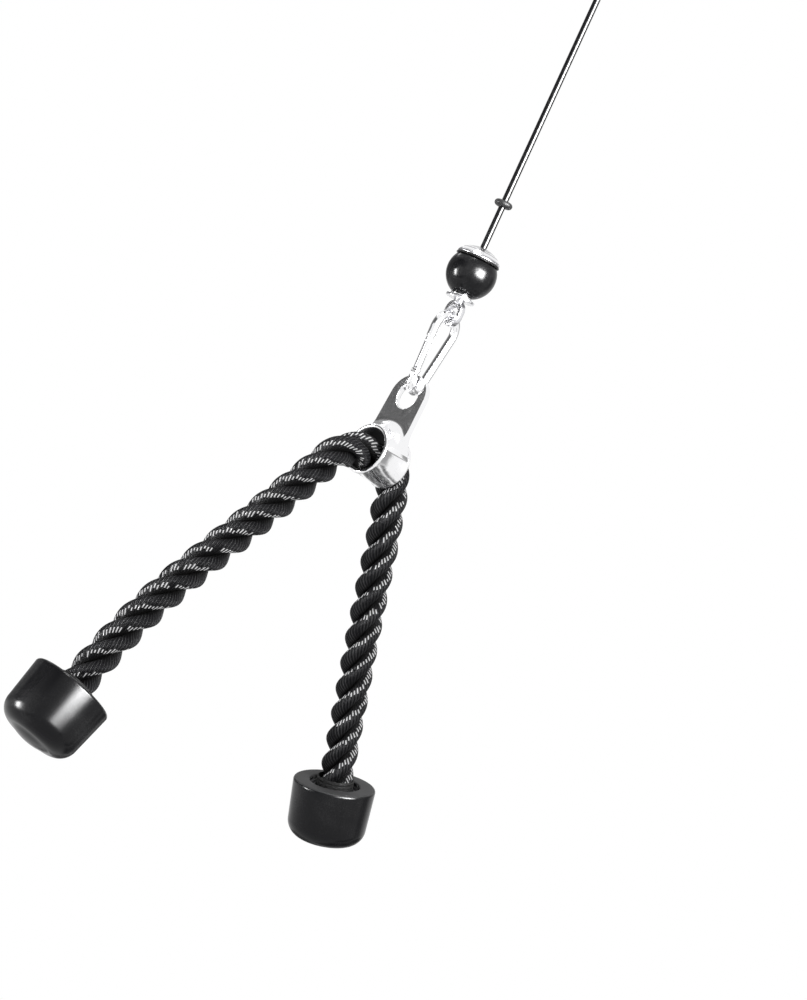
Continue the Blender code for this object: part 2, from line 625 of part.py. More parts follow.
def build_hook_body():
    """Bar bent to a pear, from the nose over both bows to the gate's pivot."""
    nose_up_leg = GATE_PIVOT_UP_LEG + GATE_LENGTH + GATE_END_GAP
    foot_up_leg = GATE_PIVOT_UP_LEG - GATE_END_RADIUS - GATE_END_GAP
    top = Vector((0, 0, -HOOK_TOP_RADIUS))
    foot = Vector((0, 0, -FOOT_BOW_DOWN))
    line = [LEG_FOOT + LEG_UP * nose_up_leg]
    turn = pi + 2 * HOOK_LEG_SLOPE
    steps = ceil(turn / HOOK_ARC_STEP)
    for i in range(steps + 1):
        angle = pi + HOOK_LEG_SLOPE - turn * i / steps
        line.append(top + HOOK_TOP_RADIUS * Vector((cos(angle), 0, sin(angle))))
    turn = pi - 2 * HOOK_LEG_SLOPE
    steps = ceil(turn / HOOK_ARC_STEP)
    for i in range(steps + 1):
        angle = -HOOK_LEG_SLOPE - turn * i / steps
        line.append(foot + HOOK_FOOT_RADIUS * Vector((cos(angle), 0, sin(angle))))
    line.append(LEG_FOOT + LEG_UP * foot_up_leg)
    section = circle(HOOK_BAR / 2, ROD_FACETS)
    body = piece("hook_body", sweep(line, lambda index: section, Vector((0, 1, 0))), HOOK_FRAME, "chrome")

    root = GATE_END_RADIUS + GATE_END_GAP + CUT_OVERRUN
    disc = arc((0, 0), TONGUE_RADIUS, 0, pi, 2 * FILLET_STEPS)
    tongue = [(x, z) for x, z in disc] + [(-TONGUE_RADIUS, -root), (TONGUE_RADIUS, -root)]
    combine(body, across_plate(tongue, TONGUE_THICKNESS), GATE_FRAME, "UNION")
    combine(body, rivet_bore(TONGUE_THICKNESS), GATE_FRAME, "DIFFERENCE")

    nose_top = GATE_LENGTH + GATE_END_GAP + CUT_OVERRUN
    nose_tip = GATE_LENGTH + GATE_END_GAP - NOSE_LENGTH
    neck = block((NOSE_WIDTH, TONGUE_THICKNESS, nose_top - nose_tip), (0, 0, (nose_top + nose_tip) / 2))
    combine(body, neck, GATE_FRAME, "UNION")
    head = block((NOSE_WIDTH, NOSE_HEAD_WIDTH, NOSE_HEAD_LENGTH), (0, 0, nose_tip + NOSE_HEAD_LENGTH / 2))
    combine(body, head, GATE_FRAME, "UNION")


def across_plate(outline, thickness):
    """Extrude a closed (X, Z) outline either side of the XZ plane."""
    shape = plate([(-x, z) for x, z in outline], thickness)
    bmesh.ops.rotate(shape, matrix=Matrix.Rotation(-pi / 2, 3, "Z"), verts=shape.verts)
    return shape


def rivet_bore(width):
    """Cutter for the rivet, running past both faces of a plate on the pivot."""
    reach = width / 2 + CUT_OVERRUN
    radius = RIVET_DIAMETER / 2 + SEAT_GAP
    return lathe([(0, -reach), (radius, -reach), (radius, reach), (0, reach)], SMALL_FACETS,
                 Matrix.Rotation(pi / 2, 4, "X"))


def build_gate():
    """Round bar with a fork over the tongue, a slot for the nose, and a sprung plunger inside."""
    radius = GATE_BAR / 2
    chamfer = radius / FILLET_STEPS
    bar = [(0, -GATE_END_RADIUS), (radius, -GATE_END_RADIUS), (radius, GATE_LENGTH - chamfer),
           (radius - chamfer, GATE_LENGTH), (0, GATE_LENGTH)]
    gate = piece("hook_gate", lathe(bar, ROD_FACETS), GATE_FRAME, "chrome")
    wide = GATE_BAR + CUT_OVERRUN
    rounding = [(wide, 0), (wide, -wide), (-wide, -wide), (-wide, 0)]
    rounding += arc((0, 0), GATE_END_RADIUS - SEAT_GAP, pi, 2 * pi, 2 * FILLET_STEPS)
    combine(gate, across_plate(rounding, 2 * wide), GATE_FRAME, "DIFFERENCE")
    slot_top = TONGUE_RADIUS + TONGUE_SLOT_GAP
    slot = block((2 * wide, GATE_SLOT, slot_top + wide), (0, 0, (slot_top - wide) / 2))
    combine(gate, slot, GATE_FRAME, "DIFFERENCE")
    combine(gate, rivet_bore(GATE_BAR), GATE_FRAME, "DIFFERENCE")
    bore_top = slot_top + PLUNGER_LENGTH + SPRING_LENGTH + 2 * SEAT_GAP
    bore = GATE_BORE / 2
    drill = lathe([(0, 0), (bore, 0), (bore, bore_top), (0, bore_top)], SMALL_FACETS)
    combine(gate, drill, GATE_FRAME, "DIFFERENCE")
    nose_tip = GATE_LENGTH + GATE_END_GAP - NOSE_LENGTH
    slot_foot = nose_tip - NOSE_GAP
    slot_end = GATE_LENGTH + wide
    neck = block((2 * wide, GATE_SLOT, slot_end - slot_foot), (0, 0, (slot_end + slot_foot) / 2))
    combine(gate, neck, GATE_FRAME, "DIFFERENCE")
    head = (2 * wide, NOSE_HEAD_WIDTH + 2 * SEAT_GAP, NOSE_HEAD_LENGTH + 2 * NOSE_GAP)
    combine(gate, block(head, (0, 0, slot_foot + head[2] / 2)), GATE_FRAME, "DIFFERENCE")

    plunger_foot = TONGUE_RADIUS + SEAT_GAP
    plunger = PLUNGER_DIAMETER / 2
    plunger_head = plunger_foot + PLUNGER_LENGTH
    outline = [(0, plunger_foot), (plunger, plunger_foot + plunger / 2), (plunger, plunger_head),
               (0, plunger_head)]
    piece("gate_plunger", lathe(outline, ROD_FACETS), GATE_FRAME, "spring steel")

    foot = plunger_head + SEAT_GAP + SPRING_WIRE / 2
    coil = (PLUNGER_DIAMETER - SPRING_WIRE) / 2
    rise = SPRING_LENGTH - SPRING_WIRE - SEAT_GAP
    count = SPRING_TURNS * SPRING_POINTS_PER_TURN
    route = []
    for i in range(count + 1):
        angle = 2 * pi * i / SPRING_POINTS_PER_TURN
        route.append(Vector((coil * cos(angle), coil * sin(angle), foot + rise * i / count)))
    cord("gate_spring", route, SPRING_WIRE, 1, GATE_FRAME, "spring steel")
    apart = [(a - b).length for i, a in enumerate(route) for b in route[i + SPRING_POINTS_PER_TURN // 2:]]
    print("least gap between the gate spring's coils, mm:", round((min(apart) - SPRING_WIRE) / MM, 2))


def build_rivet():
    """Rivet through the fork and the tongue, with a low head on each side."""
    stem = RIVET_DIAMETER / 2
    head = RIVET_HEAD_DIAMETER / 2
    inner = GATE_BAR / 2 + SEAT_GAP
    outer = inner + RIVET_HEAD_HEIGHT
    outline = [(0, -outer), (head - SEAT_GAP, -outer), (head, -inner), (stem, -inner),
               (stem, inner), (head, inner), (head - SEAT_GAP, outer), (0, outer)]
    piece("gate_rivet", lathe(outline, ROD_FACETS, Matrix.Rotation(pi / 2, 4, "X")), GATE_FRAME, "chrome")


# Rope connector. In its frame the origin is the centre of the hook's lower bow.

ALONG_X = Matrix.Rotation(pi / 2, 4, "Y")


def tube_outline():
    """Wall section of the tube with a rolled lip at either mouth, as (radius, along)."""
    inner = TUBE_BORE / 2
    outer = TUBE_RADIUS
    end = TUBE_LENGTH / 2
    lip = (TUBE_RADIUS + LIP_SWELL - inner) / 2
    right = arc((inner + lip, end - lip), lip, pi, 0, LIP_STEPS)
    left = arc((inner + lip, -end + lip), lip, 0, -pi, LIP_STEPS)
    return right + [(outer, end - 2 * lip), (outer, -end + 2 * lip)] + left


def lug_outline():
    """Closed (Y, Z) outline of the lug, from inside the tube's wall up to its round top."""
    half = TUBE_RADIUS - SEAT_GAP
    foot = TUBE_WALL - TUBE_DOWN
    top = arc((0, LUG_HOLE_ABOVE_TUBE - TUBE_DOWN), LUG_TOP_RADIUS, 0, pi, LUG_ARC_STEPS)
    return [(-half, foot), (half, foot)] + top


def flare_outline():
    """Profile of the lug's faces round the tube's axis: hollow from the tube out to the flat plate."""
    half = LUG_THICKNESS / 2
    wide = half + FLARE_RISE
    reach = LUG_HOLE_ABOVE_TUBE + LUG_TOP_RADIUS + CUT_OVERRUN
    steepest = acos(1 - FLARE_RISE / FLARE_RADIUS)
    centre = (FLARE_TOP_ABOVE_TUBE, half + FLARE_RADIUS)
    hollow = arc(centre, FLARE_RADIUS, -pi / 2 - steepest, -pi / 2, FLARE_STEPS)
    right = [(0, wide)] + hollow + [(reach, half)]
    return right + [(r, -x) for r, x in reversed(right)]


def build_connector():
    """Casting: a lug that flares into a tube, with a round hole for the hook."""
    tube = Matrix.Translation((0, 0, -TUBE_DOWN)) @ ALONG_X
    lug = plate(lug_outline(), TUBE_LENGTH - 2 * LIP_SWELL)
    casting = piece("rope_connector", lug, CONNECTOR_FRAME, "chrome")
    flare = lathe(flare_outline(), FLARE_FACETS, tube @ off_centre(FLARE_FACETS))
    combine(casting, flare, CONNECTOR_FRAME, "INTERSECT")
    inside_wall = (TUBE_BORE + TUBE_WALL) / 2
    reach = TUBE_LENGTH / 2 + CUT_OVERRUN
    outline = [(0, -reach), (inside_wall, -reach), (inside_wall, reach), (0, reach)]
    cutter = lathe(outline, TUBE_FACETS, tube @ off_centre(TUBE_FACETS))
    combine(casting, cutter, CONNECTOR_FRAME, "DIFFERENCE")
    combine(casting, lathe(tube_outline(), TUBE_FACETS, tube), CONNECTOR_FRAME, "UNION")

    hole = LUG_HOLE_DIAMETER / 2
    half = LUG_THICKNESS / 2
    outline = [(0, -half - CUT_OVERRUN), (hole + LUG_HOLE_EDGE + CUT_OVERRUN, -half - CUT_OVERRUN),
               (hole, -half + LUG_HOLE_EDGE), (hole, half - LUG_HOLE_EDGE),
               (hole + LUG_HOLE_EDGE + CUT_OVERRUN, half + CUT_OVERRUN), (0, half + CUT_OVERRUN)]
    through = Matrix.Translation((0, 0, -LUG_HOLE_DOWN)) @ ALONG_X
    combine(casting, lathe(outline, ROUND_FACETS, through), CONNECTOR_FRAME, "DIFFERENCE")


# Rope and what is on its ends

def route_places(side):
    """A leg's hand-chosen points as places in the connector's frame."""
    outward = 1 if side == "right" else -1
    places = []
    for out, up in RIGHT_ROUTE_SHARES if side == "right" else LEFT_ROUTE_SHARES:
        x = outward * (TUBE_LENGTH / 2 + out * ROPE_DIAMETER)
        places.append(Vector((x, 0, up * ROPE_DIAMETER - ROPE_SAG_IN_TUBE - TUBE_DOWN)))
    return places


def sphere(radius):
    """Ball-shaped cutter about its frame's origin."""
    poles = 2 * BEND_FACETS
    inner = [(radius * sin(pi * i / poles), -radius * cos(pi * i / poles)) for i in range(1, poles)]
    return lathe([(0, -radius)] + inner + [(0, radius)], ROUND_FACETS, off_centre(ROUND_FACETS))


def build_rope_leg(side):
    """One leg with a domed upper end on its hinge, its rubber stop and the binding."""
    places = route_places(side)
    hinge = places[HINGE_POINT_INDEX]
    frame = CONNECTOR_FRAME @ Matrix.Translation(hinge)
    line = smooth_route(places[HINGE_POINT_INDEX:], ROPE_POINT_PITCH)
    end = (places[-1] - places[-2]).normalized()
    line.append(places[-1] + end * ROPE_IN_STOP)
    line = [place - hinge for place in line]
    start = (line[1] - line[0]).normalized()
    radius = ROPE_DIAMETER / 2
    dome = []
    shares = []
    for i in range(ROPE_DOME_STEPS):
        angle = pi / 2 * (ROPE_DOME_STEPS - i) / (ROPE_DOME_STEPS + 1 / ROPE_DOME_STEPS)
        dome.append(-start * radius * sin(angle))
        shares.append(cos(angle))
    shares += [1] * len(line)
    cord("rope_leg_" + side, dome + line, ROPE_DIAMETER, 4, frame, "rope", shares)

    down = places[-1] - hinge
    tilt = atan2(-end.x, -end.z)
    face = Matrix.Translation(down) @ Matrix.Rotation(tilt, 4, "Y")
    piece("rubber_stop_" + side, lathe(stop_outline(), ROUND_FACETS, face), frame, "rubber")
    inner = ROPE_DIAMETER / 2 + SEAT_GAP
    outer = inner + BINDING_SHEET
    outline = [(inner, -BINDING_BELOW_FACE), (outer, -BINDING_BELOW_FACE),
               (outer, BINDING_ABOVE_FACE), (inner, BINDING_ABOVE_FACE)]
    piece("rope_binding_" + side, lathe(outline, SMALL_FACETS, face), frame, "binding")


def stop_outline():
    """Section of a rubber stop; height zero is the rim of its upper face."""
    rope = ROPE_DIAMETER / 2 + SEAT_GAP
    sleeve = BINDING_ROOM_RADIUS
    step = BINDING_BELOW_FACE + SEAT_GAP
    top = STOP_DIAMETER / 2
    foot = STOP_FOOT_DIAMETER / 2
    recess = RECESS_RADIUS
    outline = [(0, -ROPE_IN_STOP - SEAT_GAP), (rope, -ROPE_IN_STOP - SEAT_GAP), (rope, -step), (sleeve, -step),
               (sleeve, -RECESS_DEPTH), (recess - RECESS_LIP, -RECESS_DEPTH)]
    outline += arc((recess - RECESS_LIP, -RECESS_DEPTH + RECESS_LIP), RECESS_LIP, -pi / 2, 0, 2)[1:]
    outline += arc((recess + RECESS_LIP, -RECESS_LIP), RECESS_LIP, pi, pi / 2, 2)
    outline += arc((top - STOP_TOP_EDGE, -STOP_TOP_EDGE), STOP_TOP_EDGE, pi / 2, 0, FILLET_STEPS)
    outline += arc((foot - STOP_FOOT_EDGE, -STOP_HEIGHT + STOP_FOOT_EDGE), STOP_FOOT_EDGE, 0, -pi / 2,
                   FILLET_STEPS + 1)
    outline += [((foot - STOP_FOOT_EDGE) / 2, -STOP_HEIGHT - STOP_FOOT_CROWN * 3 / 4),
                (0, -STOP_HEIGHT - STOP_FOOT_CROWN)]
    return outline


def swung_leg(side, angle):
    """Cutter the size of a leg's straight top, with its hinge at the origin, swung outward by an angle."""
    radius = ROPE_DIAMETER / 2 + 2 * SEAT_GAP
    outward = 1 if side == "right" else -1
    places = route_places(side)
    below = places[HINGE_POINT_INDEX + 1] - places[HINGE_POINT_INDEX]
    lean = atan2(abs(below.x), -below.z) + angle
    way = Matrix.Rotation(pi - outward * lean, 4, "Y")
    outline = [(0, 0), (radius, 0), (radius, ROPE_DIAMETER), (0, ROPE_DIAMETER)]
    return lathe(outline, ROPE_FACETS, way @ off_centre(ROPE_FACETS))


def build_rope_middle():
    """Rope in the tube and out over both lips, cut clear of each leg through its swing."""
    left = route_places("left")
    right = route_places("right")
    middle = Vector((0, 0, -TUBE_DOWN - ROPE_SAG_IN_TUBE))
    points = left[HINGE_POINT_INDEX::-1] + [middle] + right[:HINGE_POINT_INDEX + 1]
    line = smooth_route(points, BEND_POINT_PITCH)
    section = circle(ROPE_DIAMETER / 2, ROPE_FACETS)
    shape = sweep(line, lambda index: section, Vector((0, 1, 0)))
    rope = piece("rope_middle", shape, CONNECTOR_FRAME, "rope")
    radius = ROPE_DIAMETER / 2 + SEAT_GAP
    for side, route in (("left", left), ("right", right)):
        hinge = CONNECTOR_FRAME @ Matrix.Translation(route[HINGE_POINT_INDEX])
        combine(rope, sphere(radius), hinge, "DIFFERENCE")
        combine(rope, swung_leg(side, LEG_SWING_OUT), hinge, "DIFFERENCE")
        combine(rope, swung_leg(side, -LEG_SWING_IN), hinge, "DIFFERENCE")


def main():
    """Clear the scene and build every piece."""
    for leftover in list(bpy.data.objects):
        bpy.data.objects.remove(leftover, do_unlink=True)
    build_cable()
    build_thimble()
    build_ferrule()
    build_collar()
    build_ball_stop()
    build_terminal()
    build_hook_body()
    build_gate()
    build_rivet()
    build_connector()
    build_rope_middle()
    build_rope_leg("left")
    build_rope_leg("right")


main()
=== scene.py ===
"""Dress the end of a gym cable, from its upper loop to the pull rope's rubber stops.

Every sub-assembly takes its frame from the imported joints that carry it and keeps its
own sizes. Metres, +Z up.
"""
import json
import logging
from collections.abc import Callable, Mapping, Sequence
from dataclasses import dataclass, field
from enum import Enum
from itertools import accumulate
from math import acos, asin, atan2, ceil, cos, pi, radians, sin, sqrt
from typing import Any, Union

import bmesh
import bpy
from bmesh.types import BMEdge, BMesh, BMVert
from mathutils import Matrix, Vector


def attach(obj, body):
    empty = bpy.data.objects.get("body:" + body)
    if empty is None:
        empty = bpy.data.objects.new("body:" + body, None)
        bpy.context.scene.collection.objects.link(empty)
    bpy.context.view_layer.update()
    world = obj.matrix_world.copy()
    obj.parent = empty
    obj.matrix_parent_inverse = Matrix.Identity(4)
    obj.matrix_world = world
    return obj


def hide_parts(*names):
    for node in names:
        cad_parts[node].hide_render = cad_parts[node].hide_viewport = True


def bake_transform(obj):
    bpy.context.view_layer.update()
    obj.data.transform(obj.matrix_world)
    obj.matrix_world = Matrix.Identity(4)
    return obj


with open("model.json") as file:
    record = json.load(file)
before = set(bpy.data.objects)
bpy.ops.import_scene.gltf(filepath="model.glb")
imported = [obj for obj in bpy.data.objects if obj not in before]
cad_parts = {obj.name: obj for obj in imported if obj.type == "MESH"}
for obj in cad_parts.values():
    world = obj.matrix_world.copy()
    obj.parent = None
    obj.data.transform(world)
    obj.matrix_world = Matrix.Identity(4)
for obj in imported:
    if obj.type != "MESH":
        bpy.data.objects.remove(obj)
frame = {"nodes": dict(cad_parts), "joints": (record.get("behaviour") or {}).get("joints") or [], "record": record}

log = logging.getLogger("cable_end")

MM = 0.001
WELD = 0.0005 * MM
SEAT_GAP = 0.3 * MM
CUT_OVERRUN = 1.0 * MM
SHARP_ANGLE = radians(32)
HARD_ANGLE = radians(35)
FLAT_ANGLE = radians(0.5)
CURVE_STEPS = 20
UV_MARGIN = 1e-4
ACROSS = Vector((0, 1, 0))

Point = tuple[float, float]
Span = tuple[float, float]
Colour = tuple[float, float, float]
Direction = tuple[float, float, float]
Value = Union["Wire", float]

# Centre line of each rope leg from the middle of the tube, along X and up, in millimetres
LEFT_ROUTE: tuple[Point, ...] = (
    (-12.0, -3.1), (-20.5, -4.3), (-28.4, -7.6), (-35.3, -12.8), (-41.2, -20.6), (-51.0, -38.5),
    (-66.5, -67.0), (-83.0, -97.0), (-100.5, -128.0), (-116.0, -156.5), (-128.6, -183.0),
    (-138.3, -208.0), (-146.0, -231.5), (-151.9, -251.0),
)
RIGHT_ROUTE: tuple[Point, ...] = (
    (12.0, -3.0), (20.5, -4.7), (26.1, -9.8), (29.4, -17.3), (34.0, -27.5), (39.0, -38.2),
    (46.2, -54.0), (56.8, -80.0), (67.8, -106.0), (78.9, -131.5), (90.4, -157.0), (101.8, -182.5),
    (112.0, -205.5), (120.3, -224.7),
)
# Place in each route where its leg's joint turns
HINGE_POINT = 3


# Shader trees

class Wire:
    """An output socket of a shader tree that Python's operators work on."""

    def __init__(self, graph: "Graph", socket: bpy.types.NodeSocket) -> None:
        """Keep the socket and the tree that it belongs to."""
        self.graph = graph
        self.socket = socket

    def __add__(self, other: Value) -> "Wire":
        """Sum."""
        return self.graph.maths("ADD", self, other)

    def __sub__(self, other: Value) -> "Wire":
        """Difference."""
        return self.graph.maths("SUBTRACT", self, other)

    def __rsub__(self, other: Value) -> "Wire":
        """Difference from a number."""
        return self.graph.maths("SUBTRACT", other, self)

    def __mul__(self, other: Value) -> "Wire":
        """Product."""
        return self.graph.maths("MULTIPLY", self, other)

    def __truediv__(self, other: Value) -> "Wire":
        """Quotient."""
        return self.graph.maths("DIVIDE", self, other)

    def __pow__(self, other: Value) -> "Wire":
        """Power."""
        return self.graph.maths("POWER", self, other)

    __radd__ = __add__
    __rmul__ = __mul__

    def fraction(self) -> "Wire":
        """What is left above the whole number."""
        return self.graph.maths("FRACT", self)

    def whole(self) -> "Wire":
        """The whole number below."""
        return self.graph.maths("FLOOR", self)

    def distance_to(self, other: Value) -> "Wire":
        """Absolute difference."""
        return self.graph.maths("ABSOLUTE", self - other)

    def wave(self) -> "Wire":
        """Sine of the value taken in whole turns, from 0 to 1."""
        return self.graph.maths("SINE", self * (2 * pi)) * 0.5 + 0.5

    def step(self, low: float, high: float) -> "Wire":
        """Rise smoothly from 0 at low to 1 at high.

        Args:
            low: Value where the rise starts.
            high: Value where it ends.

        Returns:
            The eased value.
        """
        made = self.graph.node("ShaderNodeMapRange", {"interpolation_type": "SMOOTHSTEP"},
                               {"Value": self, "From Min": low, "From Max": high})
        return Wire(self.graph, made.outputs["Result"])


class Graph:
    """A material's node tree with one Principled shader."""

    def __init__(self, name: str) -> None:
        """Start the material.

        Args:
            name: The material's name.
        """
        self.material = bpy.data.materials.new(name)
        self.material.use_nodes = True
        self.tree = self.material.node_tree
        self.shader = self.tree.nodes["Principled BSDF"]
        self.output = self.tree.nodes["Material Output"]

    def node(self, kind: str, settings: Mapping[str, Any] | None = None,
             sockets: Mapping[Any, Any] | None = None) -> bpy.types.Node:
        """Add a node.

        Args:
            kind: The node's type.
            settings: Its properties, which are set first.
            sockets: Values or wires for its inputs.

        Returns:
            The node.
        """
        made = self.tree.nodes.new(kind)
        for key, value in (settings or {}).items():
            setattr(made, key, value)
        for key, value in (sockets or {}).items():
            self.feed(made.inputs[key], value)
        return made

    def feed(self, socket: bpy.types.NodeSocket, value: Any) -> None:
        """Link a wire to an input, or set the input's value.

        Args:
            socket: The input.
            value: A wire, or a plain value of the input's kind.
        """
        if isinstance(value, Wire):
            self.tree.links.new(value.socket, socket)
        else:
            socket.default_value = value

    def dress(self, values: Mapping[str, Any]) -> None:
        """Feed the shader's inputs by their names."""
        for key, value in values.items():
            self.feed(self.shader.inputs[key], value)

    def fed(self, key: str) -> Wire:
        """The wire that already feeds one of the shader's inputs."""
        return Wire(self, self.shader.inputs[key].links[0].from_socket)

    def maths(self, operation: str, *values: Value) -> Wire:
        """Apply a Math node to one or two values."""
        made = self.node("ShaderNodeMath", {"operation": operation}, dict(enumerate(values)))
        return Wire(self, made.outputs[0])

    def mixed(self, factor: Value, low: Any, high: Any) -> Wire:
        """Blend two colours.

        Args:
            factor: Share of the second colour.
            low: Colour or wire at factor 0.
            high: Colour or wire at factor 1.

        Returns:
            The blended colour.
        """
        colours = [(*c, 1) if isinstance(c, tuple) else c for c in (low, high)]
        made = self.node("ShaderNodeMix", {"data_type": "RGBA"},
                         {0: factor, 6: colours[0], 7: colours[1]})
        return Wire(self, made.outputs[2])

    def place(self, frame_of: Matrix | None = None) -> Wire:
        """Object coordinates, or the coordinates within a frame.

        Args:
            frame_of: Frame to read the place in; the object's own by default.

        Returns:
            The coordinates, as a vector.
        """
        here = Wire(self, self.node("ShaderNodeTexCoord").outputs["Object"])
        if frame_of is None:
            return here
        inverse = frame_of.inverted()
        made = self.node("ShaderNodeMapping", None, {
            "Vector": here, "Location": inverse.translation, "Rotation": inverse.to_euler()})
        return Wire(self, made.outputs[0])

    def split(self, vector: Wire) -> tuple[Wire, Wire, Wire]:
        """The three components of a vector."""
        made = self.node("ShaderNodeSeparateXYZ", None, {0: vector})
        return Wire(self, made.outputs[0]), Wire(self, made.outputs[1]), Wire(self, made.outputs[2])

    def off_axis(self, frame_of: Matrix | None = None) -> Wire:
        """Distance from the Z axis of a frame, or of the object."""
        x, y, _ = self.split(self.place(frame_of))
        return (x * x + y * y) ** 0.5

    def joined(self, x: Value, y: Value, z: Value) -> Wire:
        """A vector from three values."""
        return Wire(self, self.node("ShaderNodeCombineXYZ", None, {0: x, 1: y, 2: z}).outputs[0])

    def noise(self, size: float, detail: float = 2.0, vector: Wire | None = None) -> Wire:
        """Cloudy noise from 0 to 1.

        Args:
            size: Rough size of its largest features, in the vector's unit.
            detail: Octaves of finer features.
            vector: Where to read it; the object's coordinates by default.

        Returns:
            The noise.
        """
        made = self.node("ShaderNodeTexNoise", None, {
            "Vector": vector or self.place(), "Scale": 1 / size, "Detail": detail})
        return Wire(self, made.outputs[0])

    def raised(self, height: Wire, depth: float) -> None:
        """Give the shader a bumpy normal.

        Args:
            height: Height of the relief, from 0 to 1.
            depth: What a height of 1 stands for, in metres.
        """
        made = self.node("ShaderNodeBump", None, {"Height": height, "Distance": depth, "Strength": 1.0})
        self.dress({"Normal": Wire(self, made.outputs[0])})


# Finishes

@dataclass(frozen=True)
class Finish:
    """A surface's name, colour and gloss, shared by every finish."""

    name: str
    colour: Colour
    roughness: float
    metallic: float = 0.0
    specular: float = 0.5
    coat: float = 0.0

    def material(self) -> bpy.types.Material:
        """The finish's material, made on first use.

        Returns:
            The material, which pieces of one finish share.
        """
        known = bpy.data.materials.get(self.name)
        if known:
            return known
        graph = Graph(self.name)
        graph.dress({"Base Color": (*self.colour, 1), "Roughness": self.roughness, "Metallic": self.metallic,
                     "Specular IOR Level": self.specular, "Coat Weight": self.coat})
        self.surface(graph)
        return graph.material

    def surface(self, graph: Graph) -> None:
        """Add what varies over the surface."""
        raise NotImplementedError


@dataclass(frozen=True)
class Plating(Finish):
    """Plated steel with faint clouding and handling marks."""

    metallic: float = 1.0
    cloud_size: float = 9.0 * MM
    clouding: float = 0.06
    waviness: float = 0.012 * MM
    shade: Colour = (0.7, 0.7, 0.71)
    mark_size: float = 1.3 * MM
    mark_edge: Span = (0.28, 0.5)
    mark_strength: float = 0.35

    def surface(self, graph: Graph) -> None:
        """Cloud the gloss, dull the colour in patches and ripple the skin.

        Args:
            graph: The material's tree, whose shader it feeds.
        """
        cloud = graph.noise(self.cloud_size, detail=3.0)
        marks = graph.noise(self.mark_size, detail=4.0)
        worn = (marks * cloud).step(*self.mark_edge)
        graph.dress({"Base Color": graph.mixed(worn * self.mark_strength, self.colour, self.shade),
                     "Roughness": cloud * self.clouding + worn * self.clouding + self.roughness})
        graph.raised(cloud, self.waviness)


@dataclass(frozen=True)
class TurnedPlating(Plating):
    """Plated sheet spun on a lathe, with fine rings about its axis; the coarse rings are painted dark into the
    colour as shade.
    """

    axis_frame: Matrix = field(default_factory=Matrix, compare=False)
    ring_pitch: float = 2.7 * MM
    ring_power: float = 3.0
    ring_painted_shade: float = 0.85
    wobble_size: float = 9.0 * MM
    wobble_share: float = 0.3
    fine_rings: int = 5
    fine_share: float = 0.2

    def surface(self, graph: Graph) -> None:
        """Lay coarse and fine turned rings over the skin, and paint the coarse rings' shade into the colour.

        Args:
            graph: The material's tree, whose shader it feeds.
        """
        radius = graph.off_axis(self.axis_frame)
        wobble = graph.noise(self.wobble_size) * self.wobble_share
        rings = (radius / self.ring_pitch + wobble).wave() ** self.ring_power
        fine = (radius / (self.ring_pitch / self.fine_rings) + wobble).wave()
        # Painted shade: the coarse rings darken the colour towards the shade colour.
        graph.dress({"Base Color": graph.mixed(rings * self.ring_painted_shade, self.colour, self.shade),
                     "Roughness": rings * self.clouding + self.roughness})
        graph.raised(rings + fine * self.fine_share, self.waviness)


@dataclass(frozen=True)
class PolishedCasting(Plating):
    """Casting polished outside; its bore is rougher and painted dark as shade."""

    bore_frame: Matrix = field(default_factory=Matrix, compare=False)
    bore_radius: float = 16.5 * MM
    polish_edge: Span = (0.1 * MM, 0.6 * MM)
    bore_painted_shade: Colour = (0.05, 0.05, 0.052)
    dulling: float = 0.5

    def surface(self, graph: Graph) -> None:
        """Polish the outside, and roughen the bore and paint it dark as shade.

        Args:
            graph: The material's tree, whose shader it feeds.
        """
        super().surface(graph)
        near, far = self.polish_edge
        outside = graph.off_axis(self.bore_frame).step(self.bore_radius + near, self.bore_radius + far)
        # Painted shade: the bore's colour goes dark.
        graph.dress({"Base Color": graph.mixed(outside, self.bore_painted_shade, graph.fed("Base Color")),
                     "Roughness": graph.fed("Roughness") + (1.0 - outside) * self.dulling})


@dataclass(frozen=True)
class Moulding(Finish):
    """Moulded rubber or plastic with a soft, uneven skin."""

    wave_size: float = 14.0 * MM
    wave_depth: float = 0.05 * MM
    grain_size: float = 0.5 * MM
    grain_share: float = 0.04
    patch_scale: float = 1.6
    dulling: float = 0.14
    dust: Colour = (0.022, 0.022, 0.023)
    dust_edge: Span = (0.26, 0.42)

    def surface(self, graph: Graph) -> None:
        """Dull the skin in patches, ripple it and add a fine grain.

        Args:
            graph: The material's tree, whose shader it feeds.
        """
        patches = graph.noise(self.wave_size * self.patch_scale, detail=3.0)
        waves = graph.noise(self.wave_size, detail=2.0)
        grain = graph.noise(self.grain_size, detail=2.0)
        dusty = (patches * grain).step(*self.dust_edge)
        graph.dress({"Base Color": graph.mixed(dusty, self.colour, self.dust),
                     "Roughness": patches * self.dulling + self.roughness})
        graph.raised(waves + grain * self.grain_share, self.wave_depth)


@dataclass(frozen=True)
class StopMoulding(Moulding):
    """Glossy moulded rubber whose upper face is rougher and painted lighter as the light that it catches."""

    face_frame: Matrix = field(default_factory=Matrix, compare=False)
    face_edge: Span = (-1.2 * MM, -0.3 * MM)
    face_painted_light: Colour = (0.03, 0.03, 0.031)
    face_dulling: float = 0.4

    def surface(self, graph: Graph) -> None:
        """Roughen the face above the rim's rounding and paint it lighter as light.

        Args:
            graph: The material's tree, whose shader it feeds.
        """
        super().surface(graph)
        _, _, height = graph.split(graph.place(self.face_frame))
        face = height.step(*self.face_edge)
        # Painted light: the upper face's colour is lifted.
        graph.dress({"Base Color": graph.mixed(face, graph.fed("Base Color"), self.face_painted_light),
                     "Roughness": graph.fed("Roughness") + face * self.face_dulling})


